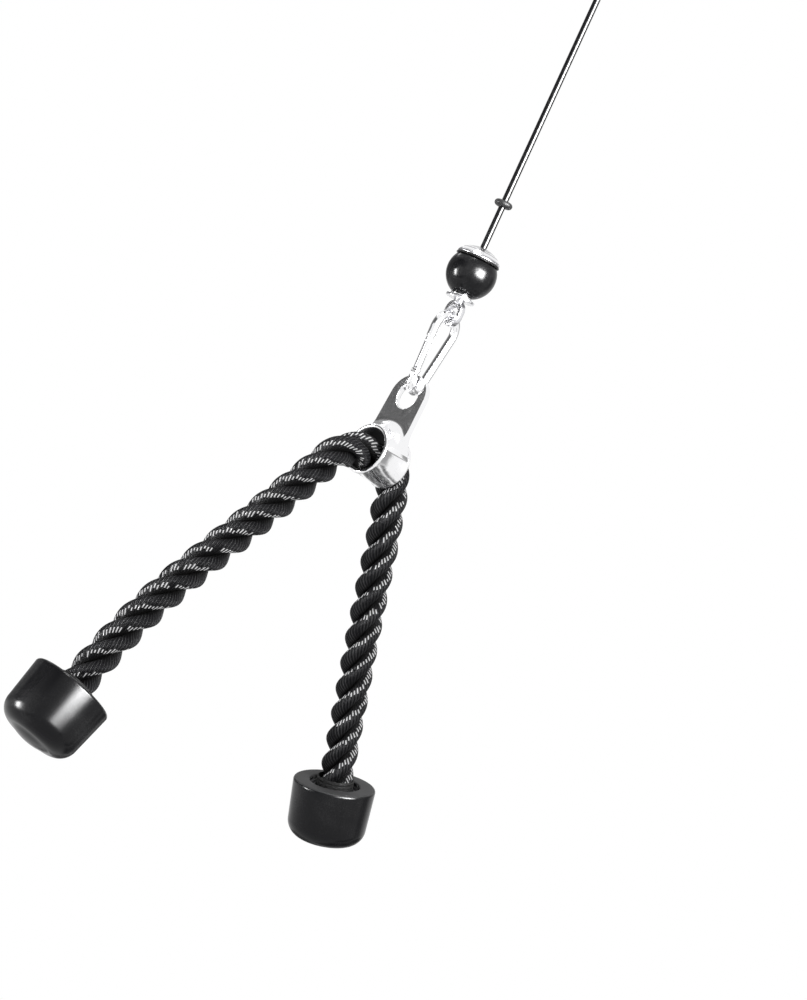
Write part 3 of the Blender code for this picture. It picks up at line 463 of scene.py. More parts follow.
@dataclass(frozen=True)
class CableSheath(Finish):
    """Smooth plastic over a wire rope, whose strands show faintly through it."""

    strands: int = 7
    lay: float = 34.0 * MM
    print_depth: float = 0.05 * MM
    scuff_size: float = 2.5 * MM
    scuff_edge: Span = (0.55, 0.8)
    scuff_colour: Colour = (0.03, 0.03, 0.031)
    scuff_dulling: float = 0.12
    scuff_relief: float = 0.1

    def surface(self, graph: Graph) -> None:
        """Press the strands' twist through the sheath and scuff it.

        Args:
            graph: The material's tree, whose shader it feeds.
        """
        around, along, _ = graph.split(uv_of(graph))
        strands = (around * self.strands + along * (self.strands / self.lay)).wave()
        scuffs = graph.noise(self.scuff_size, detail=3.0)
        worn = scuffs.step(*self.scuff_edge)
        graph.dress({"Base Color": graph.mixed(worn, self.colour, self.scuff_colour),
                     "Roughness": scuffs * self.scuff_dulling + self.roughness})
        graph.raised(strands + scuffs * self.scuff_relief, self.print_depth)


@dataclass(frozen=True)
class RopeYarn(Finish):
    """Black twisted yarns, with a band of light tracer yarns along each strand."""

    yarns: int = 15
    yarn_turns: float = 39.0
    yarn_depth: float = 0.5 * MM
    ridges_per_yarn: float = 2.0
    strand_shift: float = 0.37
    sway_size: float = 2.5
    sway_across: float = 8.0
    sway_along: float = 90.0
    sway_share: float = 0.5
    lit: Colour = (0.06, 0.06, 0.062)
    lit_least: float = 0.2
    line_power: float = 3.0
    line_shift: float = 0.25
    line_gloss: float = 0.15
    shadow: Colour = (0.003, 0.003, 0.003)
    groove_edge: Span = (0.2, 0.38)
    tracer: Colour = (0.95, 0.95, 0.96)
    thread_edge: Span = (0.1, 0.55)
    dash_edge: Span = (0.06, 0.12)
    reshuffle: float = 17.0
    band_middle: float = 0.32
    band_drift: float = 0.07
    band_half_width: float = 0.058
    band_least: float = 0.5
    band_spread: float = 0.9
    band_edge: Span = (0.75, 1.0)

    def surface(self, graph: Graph) -> None:
        """Run the yarns along the rope, paint lighter lines along them as their sheen and the grooves dark as
        shade, and colour the tracer band's yarns in dashes.

        Args:
            graph: The material's tree, whose shader it feeds.
        """
        around, along, _ = graph.split(uv_of(graph))
        strand = around.whole()
        across = around.fraction()
        drift = graph.joined(across * self.sway_across, along * self.sway_along, strand)
        sway = graph.noise(self.sway_size, vector=drift) * self.sway_share
        turns = across + strand * self.strand_shift + along * self.yarn_turns
        yarn = turns * self.yarns + sway
        thread = (yarn.fraction().distance_to(0.5) * 2.0).step(*self.thread_edge)
        lines = (yarn + self.line_shift).wave() ** self.line_power
        cell = graph.node("ShaderNodeTexWhiteNoise", {"noise_dimensions": "2D"}, {
            "Vector": graph.joined(yarn.whole(), strand, 0.0)})
        chance = Wire(graph, cell.outputs["Value"])
        other = (chance * self.reshuffle).fraction()
        middle = (other - 0.5) * self.band_drift + self.band_middle
        half = chance * self.band_half_width * self.band_spread + self.band_half_width * self.band_least
        band = 1.0 - (across.distance_to(middle) / half).step(*self.band_edge)
        dash = (1.0 - thread) * chance.step(*self.dash_edge)
        groove = across.distance_to(0.5).step(*self.groove_edge)
        # Painted sheen: lighter lines along the yarns; painted shadow: the grooves between strands go dark.
        lit = lines * (chance * (1 - self.lit_least) + self.lit_least)
        dark = graph.mixed(groove, graph.mixed(lit, self.colour, self.lit), self.shadow)
        graph.dress({"Base Color": graph.mixed(band * dash, dark, self.tracer),
                     "Roughness": self.roughness - lines * self.line_gloss})
        graph.raised((yarn * self.ridges_per_yarn).wave(), self.yarn_depth)


def uv_of(graph: Graph) -> Wire:
    """The piece's own UV map."""
    return Wire(graph, graph.node("ShaderNodeTexCoord").outputs["UV"])


# Mesh helpers

class Carve(Enum):
    """How a tool changes the solid that it meets."""

    JOIN = "UNION"
    CUT = "DIFFERENCE"
    KEEP_SHARED = "INTERSECT"


def arc(centre: Point, radius: float, start: float, end: float, steps: int) -> list[Point]:
    """Points of a flat arc.

    Args:
        centre: The arc's centre.
        radius: Its radius.
        start: Its first angle.
        end: Its last angle.
        steps: Number of chords.

    Returns:
        The points, both ends included.
    """
    angles = [start + (end - start) * i / steps for i in range(steps + 1)]
    return [(centre[0] + radius * cos(a), centre[1] + radius * sin(a)) for a in angles]


def eased(points: Sequence[Vector], pitch: float) -> list[Vector]:
    """Read points at an even pitch from a smooth curve through the given ones.

    Args:
        points: Places that the curve runs through.
        pitch: Rough distance between two readings.

    Returns:
        The readings, both ends included.
    """
    ends = [2 * points[0] - points[1], *points, 2 * points[-1] - points[-2]]
    fine: list[Vector] = []
    for p0, p1, p2, p3 in zip(ends, ends[1:], ends[2:], ends[3:]):
        for i in range(CURVE_STEPS):
            t = i / CURVE_STEPS
            fine.append(0.5 * (2 * p1 + (p2 - p0) * t + (2 * p0 - 5 * p1 + 4 * p2 - p3) * t ** 2
                               + (3 * p1 - p0 - 3 * p2 + p3) * t ** 3))
    fine.append(points[-1].copy())
    lengths = [0.0, *accumulate((after - before).length for before, after in zip(fine, fine[1:]))]
    count = max(2, round(lengths[-1] / pitch))
    readings = []
    k = 0
    for i in range(count + 1):
        goal = lengths[-1] * i / count
        while k < len(fine) - 2 and lengths[k + 1] < goal:
            k += 1
        readings.append(fine[k].lerp(fine[k + 1], (goal - lengths[k]) / (lengths[k + 1] - lengths[k])))
    return readings


def turned(outline: Sequence[Point], steps: int) -> BMesh:
    """Spin an outline of (radius, height) points once round Z.

    Args:
        outline: The section, closed unless both its ends lie on the axis.
        steps: Facets of a full turn.

    Returns:
        The closed shape.
    """
    shape = bmesh.new()
    corners = [shape.verts.new((radius, 0.0, height)) for radius, height in outline]
    pairs = list(zip(corners, corners[1:]))
    if outline[0][0] > 0 or outline[-1][0] > 0:
        pairs.append((corners[-1], corners[0]))
    edges = [shape.edges.new(pair) for pair in pairs]
    bmesh.ops.spin(shape, geom=corners + edges, cent=(0, 0, 0), axis=(0, 0, 1), dvec=(0, 0, 0),
                   angle=2 * pi, steps=steps, use_merge=True)
    return closed(shape)


def closed(shape: BMesh) -> BMesh:
    """Merge a shape's doubles and face its walls outward.

    Args:
        shape: A shape whose walls meet.

    Returns:
        The same shape.
    """
    bmesh.ops.remove_doubles(shape, verts=shape.verts, dist=WELD)
    bmesh.ops.dissolve_degenerate(shape, dist=WELD, edges=shape.edges)
    bmesh.ops.recalc_face_normals(shape, faces=shape.faces)
    return shape


def extruded(outline: Sequence[Point], thickness: float) -> BMesh:
    """Thicken a closed (Y, Z) outline to equal depths either side of the YZ plane.

    Args:
        outline: The plate's outline.
        thickness: Its whole thickness.

    Returns:
        The plate.
    """
    shape = bmesh.new()
    face = shape.faces.new([shape.verts.new((-thickness / 2, y, z)) for y, z in outline])
    grown = bmesh.ops.extrude_face_region(shape, geom=[face])["geom"]
    bmesh.ops.translate(shape, vec=(thickness, 0, 0), verts=[v for v in grown if isinstance(v, BMVert)])
    return closed(shape)


def block(size: Sequence[float], centre: Sequence[float]) -> BMesh:
    """An upright box of a given size about a centre.

    Args:
        size: Its lengths along X, Y and Z.
        centre: Its middle.

    Returns:
        The box.
    """
    shape = bmesh.new()
    bmesh.ops.create_cube(shape, size=1)
    bmesh.ops.scale(shape, vec=size, verts=shape.verts)
    bmesh.ops.translate(shape, vec=centre, verts=shape.verts)
    return shape


def moved(shape: BMesh, place: Matrix) -> BMesh:
    """Carry a shape to a frame."""
    bmesh.ops.transform(shape, matrix=place, verts=shape.verts)
    return shape


def swept(outline: Sequence[Point], stations: Sequence[Matrix],
          share_of: Callable[[int], float] | None = None) -> BMesh:
    """Carry a closed section along frames whose Z runs forward, and close both ends.

    Args:
        outline: The section's (X, Y) points.
        stations: A frame for each place along the way.
        share_of: Scale of the section at a station, by its index.

    Returns:
        The tube, with a UV map of turns around it and metres along it.
    """
    shape = bmesh.new()
    order = shape.verts.layers.int.new("order")
    along = shape.verts.layers.float.new("along")
    ring = bmesh.ops.create_circle(shape, cap_ends=False, segments=len(outline), radius=1)["verts"]
    for index, (vert, (x, y)) in enumerate(zip(ring, outline)):
        vert.co = (x, y, 0)
        vert[order] = index
    edges = list(shape.edges)
    sized = [m @ Matrix.Scale(share_of(i) if share_of else 1, 4) for i, m in enumerate(stations)]
    bmesh.ops.transform(shape, matrix=sized[0], verts=ring)
    shape.faces.new(ring)
    distance = 0.0
    for before, after in zip(sized, sized[1:]):
        distance += (after.translation - before.translation).length
        grown = bmesh.ops.extrude_edge_only(shape, edges=edges)["geom"]
        ring = [v for v in grown if isinstance(v, BMVert)]
        edges = [e for e in grown if isinstance(e, BMEdge)]
        bmesh.ops.transform(shape, matrix=after @ before.inverted(), verts=ring)
        for vert in ring:
            vert[along] = distance
    shape.faces.new(sorted(ring, key=lambda vert: vert[order]))
    bmesh.ops.recalc_face_normals(shape, faces=shape.faces)
    uv = shape.loops.layers.uv.new("UVMap")
    count = len(outline)
    for face in shape.faces:
        places = [loop.vert[order] for loop in face.loops]
        wraps = len(places) == 4 and 0 in places and count - 1 in places
        for loop, place in zip(face.loops, places):
            turn = count if wraps and place == 0 else place
            loop[uv].uv = (turn / count, loop.vert[along])
    return shape


def along_line(line: Sequence[Vector], across: Vector,
               twist_at: Callable[[float], float] | None = None) -> list[Matrix]:
    """Frames along a flat line: Z forward, Y across the line's plane, turned by a twist.

    Args:
        line: The places.
        across: Direction square to the line's plane.
        twist_at: Turn about the line at a distance along it.

    Returns:
        One frame for each place.
    """
    frames = []
    distance = 0.0
    for index, place in enumerate(line):
        before = line[max(index - 1, 0)]
        after = line[min(index + 1, len(line) - 1)]
        distance += (place - before).length
        forward = (after - before).normalized()
        matrix = axes_frame(place, across.cross(forward), across, forward)
        frames.append(matrix @ Matrix.Rotation(twist_at(distance), 4, "Z") if twist_at else matrix)
    return frames


def axes_frame(origin: Vector, x: Vector, y: Vector, z: Vector) -> Matrix:
    """The frame with a given origin and axes."""
    return Matrix.Translation(origin) @ Matrix((x, y, z)).transposed().to_4x4()


def both_ways(half: Sequence[Point]) -> list[Point]:
    """Outline of a turned shape that is alike on both sides of height zero."""
    return [(radius, -height) for radius, height in reversed(half)] + list(half)


def linked(shape: BMesh, name: str) -> bpy.types.Object:
    """Turn a shape into an object of the scene.

    Args:
        shape: The shape, which is freed.
        name: The object's and its mesh's name.

    Returns:
        The object.
    """
    mesh = bpy.data.meshes.new(name)
    shape.to_mesh(mesh)
    shape.free()
    made = bpy.data.objects.new(name, mesh)
    bpy.context.scene.collection.objects.link(made)
    return made


def carved(solid: BMesh, *tools: tuple[BMesh, Carve]) -> BMesh:
    """Join, cut or intersect a solid with tools in turn.

    Args:
        solid: The shape to start from.
        tools: Each tool with the way that it is used.

    Returns:
        The changed shape.
    """
    made = [linked(shape, "work") for shape in (solid, *(tool for tool, _ in tools))]
    for tool, (_, way) in zip(made[1:], tools):
        change = made[0].modifiers.new("carve", "BOOLEAN")
        change.operation = way.value
        change.solver = "EXACT"
        change.object = tool
    depsgraph = bpy.context.evaluated_depsgraph_get()
    result = bmesh.new()
    result.from_object(made[0], depsgraph)
    for item in made:
        bpy.data.objects.remove(item, do_unlink=True)
    return closed(result)


def rounded_edges(shape: BMesh, width: float, steps: int = 2) -> BMesh:
    """Round off a shape's hard edges.

    Args:
        shape: The shape.
        width: Width of the rounding.
        steps: Facets across it.

    Returns:
        The rounded shape.
    """
    bmesh.ops.dissolve_limit(shape, angle_limit=FLAT_ANGLE, verts=shape.verts, edges=shape.edges)
    hard = [e for e in shape.edges if len(e.link_faces) == 2 and e.calc_face_angle() > HARD_ANGLE]
    bmesh.ops.bevel(shape, geom=hard, offset=width, affect="EDGES", segments=steps, profile=0.5,
                    material=-1, clamp_overlap=True)
    bmesh.ops.recalc_face_normals(shape, faces=shape.faces)
    return shape


def settled(shape: BMesh, name: str, body: str | None, finish: Finish,
            nodes: Sequence[str]) -> bpy.types.Object:
    """Make a piece from a shape that is already in place.

    Args:
        shape: The piece's shape in the row frame.
        name: Its name.
        body: The body that it rides on, or None for a piece that rides on no body.
        finish: Its finish.
        nodes: The CAD nodes that it stands for, which are hidden.

    Returns:
        The piece.
    """
    piece = linked(shape, name)
    piece.data.shade_smooth()
    piece.data.set_sharp_from_angle(angle=SHARP_ANGLE)
    piece.data.materials.append(finish.material())
    if body:
        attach(piece, body)
    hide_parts(*nodes)
    log.info("%s: %d faces, on %s", name, len(piece.data.polygons), body or "two bodies")
    return piece


def dressed(node: str, finish: Finish) -> None:
    """Give a CAD node that stays a better finish.

    Args:
        node: The CAD node's name.
        finish: Its finish.
    """
    for slot in frame["nodes"][node].material_slots:
        slot.material = finish.material()
    log.info("%s: kept, with the finish %s", node, finish.name)


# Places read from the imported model

def joint(name: str) -> Mapping[str, Any]:
    """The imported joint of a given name."""
    return next(j for j in frame["joints"] if j["name"] == name)


@dataclass(frozen=True)
class Places:
    """Frames of the sub-assemblies."""

    cable: Matrix
    ball: Matrix
    hook: Matrix
    connector: Matrix
    gate_pivot: Vector
    left_hinge: Vector
    right_hinge: Vector

    @classmethod
    def read(cls) -> "Places":
        """Work the frames out from the joints that carry each sub-assembly.

        Returns:
            The frames and the hinge points, in the row frame.
        """
        up = Vector(joint("stack_slide")["axis"]).normalized()
        across_hook = Vector(joint("hook_swing")["axis"]).normalized()
        through_hook = Vector(joint("connector_tilt")["axis"]).normalized()
        hook_up = across_hook.cross(through_hook).normalized()
        loop = Vector(frame["record"]["mounts"][0]["pos_m"])
        ball = Vector(joint("ball_spin")["pos_m"])
        bow = Vector(joint("hook_swing")["pos_m"])
        foot = Vector(joint("connector_tilt")["pos_m"])
        return cls(
            cable=axes_frame(loop, ACROSS.cross(up), ACROSS, up),
            ball=axes_frame(ball, ACROSS.cross(up), ACROSS, up),
            hook=axes_frame(bow, across_hook, through_hook, hook_up),
            connector=axes_frame(foot, ACROSS.cross(hook_up), ACROSS, hook_up),
            gate_pivot=Vector(joint("gate_hinge")["pos_m"]),
            left_hinge=Vector(joint("left_leg_bend")["pos_m"]),
            right_hinge=Vector(joint("right_leg_bend")["pos_m"]),
        )


# Finishes of this object

CHROME = Plating("chrome", (0.9, 0.9, 0.91), 0.06, cloud_size=16 * MM, clouding=0.04)
ZINC = Plating("zinc", (0.68, 0.68, 0.7), 0.13, clouding=0.08, shade=(0.42, 0.42, 0.44), waviness=0.02 * MM)
GALVANISED = Plating("galvanised", (0.42, 0.42, 0.43), 0.5, metallic=0.15, specular=0.1, cloud_size=4 * MM,
                     clouding=0.1, shade=(0.25, 0.25, 0.26))
SPRING_STEEL = Plating("spring_steel", (0.55, 0.55, 0.57), 0.25, shade=(0.35, 0.35, 0.37))
BALL_GLOSS = Moulding("ball_gloss", (0.005, 0.005, 0.006), 0.2, wave_size=9 * MM, wave_depth=0.2 * MM,
                      grain_share=0.01, dulling=0.15, specular=0.07, coat=0.2)
SOFT_RUBBER = Moulding("soft_rubber", (0.02, 0.02, 0.021), 0.42, specular=0.2, grain_share=0.2)
GASKET_RUBBER = Moulding("gasket_rubber", (0.006, 0.006, 0.006), 0.35, wave_size=3 * MM, specular=0.15)
BINDING = Moulding("whipped_end", (0.003, 0.003, 0.003), 0.6, wave_size=2.2 * MM, wave_depth=0.8 * MM,
                   specular=0.08, grain_share=0.3, dust=(0.02, 0.02, 0.02))
SHEATH = CableSheath("cable_sheath", (0.005, 0.005, 0.006), 0.16, specular=0.3, print_depth=0.015 * MM)
YARN = RopeYarn("rope_yarn", (0.002, 0.002, 0.003), 0.6, specular=0.04)


# Sub-assemblies

@dataclass
class CableLine:
    """The cable, with its thimble loop, the ferrule and the rubber collar."""

    places: Places
    diameter: float = 5.0 * MM
    loop_length: float = 42.0 * MM
    thimble_radius: float = 9.0 * MM
    thimble_sheet: float = 1.0 * MM
    rim_height: float = 3.4 * MM
    thimble_edge: float = 0.2 * MM
    thimble_end_gap: float = 12.0 * MM
    ferrule_length: float = 18.0 * MM
    ferrule_wall: float = 2.0 * MM
    ferrule_edge: float = 0.8 * MM
    presses: int = 3
    press_half_width: float = 1.6 * MM
    press_floor_half_width: float = 1.0 * MM
    press_depth: float = 0.35 * MM
    tail_length: float = 2.5 * MM
    straight_pitch: float = 6.0 * MM
    shank_above_ball: float = 1.0 * MM
    collar_diameter: float = 14.0 * MM
    collar_height: float = 4.8 * MM
    collar_above_ball: float = 57.0 * MM
    sides: int = 28

    @property
    def leg_spacing(self) -> float:
        """Distance between the loop's two legs in the ferrule."""
        return self.diameter + SEAT_GAP

    @property
    def loop_radius(self) -> float:
        """Radius of the cable's centre line round the thimble."""
        return self.thimble_radius + self.thimble_sheet + SEAT_GAP + self.diameter / 2

    def leg_angle(self, offset: float) -> float:
        """Angle on the loop's arc where the straight line from a leg's foot meets it."""
        drop = self.loop_length - self.thimble_radius
        return atan2(-drop, offset) + acos(self.loop_radius / sqrt(drop ** 2 + offset ** 2))

    def loop_line(self) -> list[Vector]:
        """Centre line of the loop, from its live leg's foot round to its dead one's.

        Returns:
            Places in the cable's frame.
        """
        centre = Vector((0, 0, -self.thimble_radius))
        start = self.leg_angle(0)
        end = pi - self.leg_angle(self.leg_spacing)
        steps = 48
        angles = [start + (end - start) * i / steps for i in range(steps + 1)]
        crown = [centre + self.loop_radius * Vector((cos(a), 0, sin(a))) for a in angles]
        ways = [Vector((-sin(a), 0, cos(a))) for a in (angles[0], angles[-1])]
        live_foot = Vector((0, 0, -self.loop_length))
        dead_foot = Vector((-self.leg_spacing, 0, -self.loop_length))
        live = self.bend(live_foot, Vector((0, 0, 1)), crown[0], ways[0])
        dead = self.bend(crown[-1], ways[1], dead_foot, Vector((0, 0, -1)))
        return live[:-1] + crown + dead[1:]

    @staticmethod
    def bend(start: Vector, start_way: Vector, end: Vector, end_way: Vector) -> list[Vector]:
        """Points of a smooth bend from one place and direction to another, both ends included.

        Args:
            start: First place.
            start_way: Direction there.
            end: Last place.
            end_way: Direction there.

        Returns:
            The places.
        """
        reach = (end - start).length
        steps = 14
        points = []
        for i in range(steps + 1):
            t = i / steps
            points.append((2 * t ** 3 - 3 * t ** 2 + 1) * start
                          + (t ** 3 - 2 * t ** 2 + t) * reach * start_way
                          + (3 * t ** 2 - 2 * t ** 3) * end + (t ** 3 - t ** 2) * reach * end_way)
        return points

    def route(self) -> list[Vector]:
        """The cable's centre line in its frame, up from the terminal and round to its tail.

        Returns:
            Places in the cable's frame.
        """
        ball_down = (self.places.ball.translation - self.places.cable.translation).length
        foot = ball_down - self.shank_above_ball - SEAT_GAP
        count = ceil((foot - self.loop_length) / self.straight_pitch)
        straight = [Vector((0, 0, -foot + (foot - self.loop_length) * i / count)) for i in range(count)]
        tail = Vector((-self.leg_spacing, 0, -self.loop_length - self.ferrule_length - self.tail_length))
        return straight + self.loop_line() + [tail]

    def build(self) -> None:
        route = [self.places.cable @ point for point in self.route()]
        section = arc((0, 0), self.diameter / 2, 0, 2 * pi, self.sides)[:-1]
        cable = settled(swept(section, along_line(route, ACROSS)), "sheathed_cable", "cable_line", SHEATH,
                        ["cable"])
        pieces = [self.build_thimble(), self.build_ferrule(), self.build_collar()]
        length = sum((b - a).length for a, b in zip(route, route[1:]))

    def build_thimble(self) -> bpy.types.Object:
        """Bent sheet gutter that lines the loop.

        Returns:
            The thimble.
        """
        inset = self.diameter / 2 + SEAT_GAP
        sheet = self.thimble_sheet
        rim = self.rim_height
        gutter = [(-sheet, -inset), (-sheet, inset), (0, inset + sheet), (rim, inset + sheet), (rim, inset),
                  (0, inset), (0, -inset), (rim, -inset), (rim, -inset - sheet), (0, -inset - sheet)]
        line = []
        loop = self.loop_line()
        for index, place in enumerate(loop):
            way = (loop[min(index + 1, len(loop) - 1)] - loop[max(index - 1, 0)]).normalized()
            line.append(place + inset * Vector((-way.z, 0, way.x)))
        floor = self.thimble_end_gap - self.loop_length
        line = [place for place in line if place.z > floor]
        shape = rounded_edges(swept(gutter, along_line(line, ACROSS)), self.thimble_edge)
        return settled(moved(shape, self.places.cable), "loop_thimble", "cable_line", GALVANISED, ["thimble"])

    def build_ferrule(self) -> bpy.types.Object:
        """Oval sleeve pressed over the loop's two legs, with the press's marks.

        Returns:
            The ferrule.
        """
        bore = self.diameter / 2 + SEAT_GAP
        outer = bore + self.ferrule_wall
        length = self.ferrule_length
        edge = self.ferrule_edge
        mark = [(-self.press_half_width, 0.0), (-self.press_floor_half_width, self.press_depth),
                (self.press_floor_half_width, self.press_depth), (self.press_half_width, 0.0)]
        levels = [(0.0, edge), (edge, 0.0)]
        for press in range(self.presses):
            middle = length * (press + 0.5) / self.presses
            levels += [(middle + aside, depth) for aside, depth in mark]
        levels += [(length - edge, 0.0), (length, edge)]
        shape = swept(self.oval(outer), [self.ferrule_station(down) for down, _ in levels],
                      lambda i: (outer - levels[i][1]) / outer)
        ends = (-CUT_OVERRUN, length + CUT_OVERRUN)
        tool = swept(self.oval(bore), [self.ferrule_station(down) for down in ends])
        shape = carved(shape, (tool, Carve.CUT))
        return settled(moved(shape, self.places.cable), "pressed_ferrule", "cable_line", GALVANISED,
                       ["loop_ferrule"])

    def ferrule_station(self, down: float) -> Matrix:
        """Frame in the middle of the ferrule, at a distance below its top."""
        return Matrix.Translation((-self.leg_spacing / 2, 0, -self.loop_length - down))

    def oval(self, radius: float) -> list[Point]:
        """Two half rounds about the loop's legs, joined by straight sides.

        Args:
            radius: Radius of each half round.

        Returns:
            The outline, closed.
        """
        half = self.leg_spacing / 2
        right = arc((half, 0), radius, -pi / 2, pi / 2, steps=16)
        return right + arc((-half, 0), radius, pi / 2, 3 * pi / 2, steps=16)

    def build_collar(self) -> bpy.types.Object:
        """Rubber ring that grips the cable above the ball.

        Returns:
            The ring.
        """
        bore = self.diameter / 2 + SEAT_GAP
        radius = self.collar_height / 2
        outline = [(bore, -radius), (bore, radius)]
        outline += arc((self.collar_diameter / 2 - radius, 0), radius, pi / 2, -pi / 2, steps=16)
        place = self.places.ball @ Matrix.Translation((0, 0, self.collar_above_ball))
        return settled(moved(turned(outline, steps=48), place), "rubber_collar", "collar", SOFT_RUBBER,
                       ["collar_ring"])


@dataclass
class BallStop:
    """The ball, its flanged bush, the gasket and the spun cap."""

    places: Places
    ball_diameter: float = 38.0 * MM
    top_flat_radius: float = 15.9 * MM
    foot_flat_radius: float = 8.7 * MM
    flat_edge: float = 0.5 * MM
    flat_edge_turn: float = 0.02
    bush_diameter: float = 12.4 * MM
    bush_bore: float = 8.8 * MM
    flange_diameter: float = 17.5 * MM
    flange_height: float = 1.7 * MM
    gasket_diameter: float = 34.2 * MM
    gasket_height: float = 1.1 * MM
    cap_diameter: float = 33.6 * MM
    cap_height: float = 8.8 * MM
    cap_sheet: float = 1.2 * MM
    brim_height: float = 1.0 * MM
    cable_diameter: float = 5.0 * MM
    crown_shares: tuple[Point, ...] = ((0.22, 1.0), (0.5, 0.84), (0.74, 0.6), (0.9, 0.32))
    crown_pitch: float = 0.3 * MM
    ribs: int = 5
    rib_depth: float = 0.22 * MM
    rib_fade: float = 6.0
    lining_step: int = 3
    lining_end: int = 6
    steps: int = 96

    @property
    def top(self) -> float:
        """Height of the ball's upper flat."""
        return sqrt((self.ball_diameter / 2) ** 2 - self.top_flat_radius ** 2)

    @property
    def foot(self) -> float:
        """Height of the ball's lower flat."""
        return -sqrt((self.ball_diameter / 2) ** 2 - self.foot_flat_radius ** 2)

    @property
    def flange_foot(self) -> float:
        """Height of the bush flange's underside."""
        return self.foot - SEAT_GAP - self.flange_height

    def build(self) -> None:
        """Make the four pieces round the cable's axis."""
        self.build_ball()
        self.build_bush()
        self.build_gasket()
        self.build_cap()

    def build_ball(self) -> None:
        """Ball with a bore and two flats, their edges rounded."""
        radius = self.ball_diameter / 2
        bore = self.bush_diameter / 2 + SEAT_GAP
        zone = arc((0, 0), radius, asin(self.foot / radius) + self.flat_edge_turn,
                   asin(self.top / radius) - self.flat_edge_turn, steps=44)
        outline = [(bore, self.foot), (self.foot_flat_radius - self.flat_edge, self.foot), *zone,
                   (self.top_flat_radius - self.flat_edge, self.top), (bore, self.top)]
        settled(moved(turned(outline, self.steps), self.places.ball), "gloss_ball", "ball", BALL_GLOSS,
                ["stop_ball"])

    def build_bush(self) -> None:
        """Bush through the ball with a flange below it."""
        bore = self.bush_bore / 2
        stem = self.bush_diameter / 2
        flange = self.flange_diameter / 2
        top = self.top + self.gasket_height + SEAT_GAP
        foot = self.flange_foot
        height = self.flange_height
        rim = arc((flange - height / 2, foot + height / 2), height / 2, -pi / 2, pi / 2, steps=10)
        outline = [(bore, foot), *rim, (stem, foot + height), (stem, top), (bore, top)]
        settled(moved(turned(outline, self.steps), self.places.ball), "flanged_bush", "stop_stack", CHROME,
                ["stop_bush"])

    def build_gasket(self) -> None:
        """Thin rubber washer between the ball and the cap."""
        bore = self.bush_diameter / 2 + SEAT_GAP
        foot = self.top + SEAT_GAP
        half = self.gasket_height / 2
        rim = arc((self.gasket_diameter / 2 - half, foot + half), half, -pi / 2, pi / 2, steps=8)
        outline = [(bore, foot), *rim, (bore, foot + self.gasket_height)]
        settled(moved(turned(outline, self.steps), self.places.ball), "rubber_gasket", "stop_stack",
                GASKET_RUBBER, ["cap_gasket"])

    def build_cap(self) -> None:
        """Cap spun from sheet: a bright rolled brim and a low ribbed dome."""
        radius = self.cap_diameter / 2
        foot = self.top + self.gasket_height + 2 * SEAT_GAP
        top = foot + self.cap_height
        brim = foot + self.brim_height
        rise = self.cap_height - self.brim_height
        hole = self.cable_diameter / 2 + SEAT_GAP
        shares = [(hole / radius, 1.0), *self.crown_shares, (1.0, 0.0)]
        profile = eased([Vector((r * radius, 0, brim + rise * h)) for r, h in shares], self.crown_pitch)
        crown = []
        for index, place in enumerate(profile):
            share = index / (len(profile) - 1)
            fade = min(1.0, self.rib_fade * share, self.rib_fade * (1 - share))
            groove = 0.5 + 0.5 * cos(2 * pi * self.ribs * share)
            crown.append((place.x, place.z - self.rib_depth * fade * groove))
        inside = reversed(crown[:-self.lining_end:self.lining_step])
        lining = [(max(hole, r - self.cap_sheet / 2), h - self.cap_sheet) for r, h in inside]
        lip = arc((radius - self.brim_height / 2, foot + self.brim_height / 2), self.brim_height / 2,
                  pi / 2, -pi / 2, steps=8)
        outline = [(hole, top - self.cap_sheet), *crown[:-1], *lip, (radius - self.cap_sheet, foot),
                   *lining[:-1]]
        # The cap's rings are painted dark as shade, in the shade colour given here.
        finish = TurnedPlating("spun_cap", (0.88, 0.88, 0.89), 0.14, axis_frame=self.places.ball,
                               waviness=0.05 * MM, clouding=0.12, shade=(0.22, 0.22, 0.23))
        settled(moved(turned(outline, self.steps), self.places.ball), "spun_cap", "stop_stack", finish,
                ["stop_cap"])


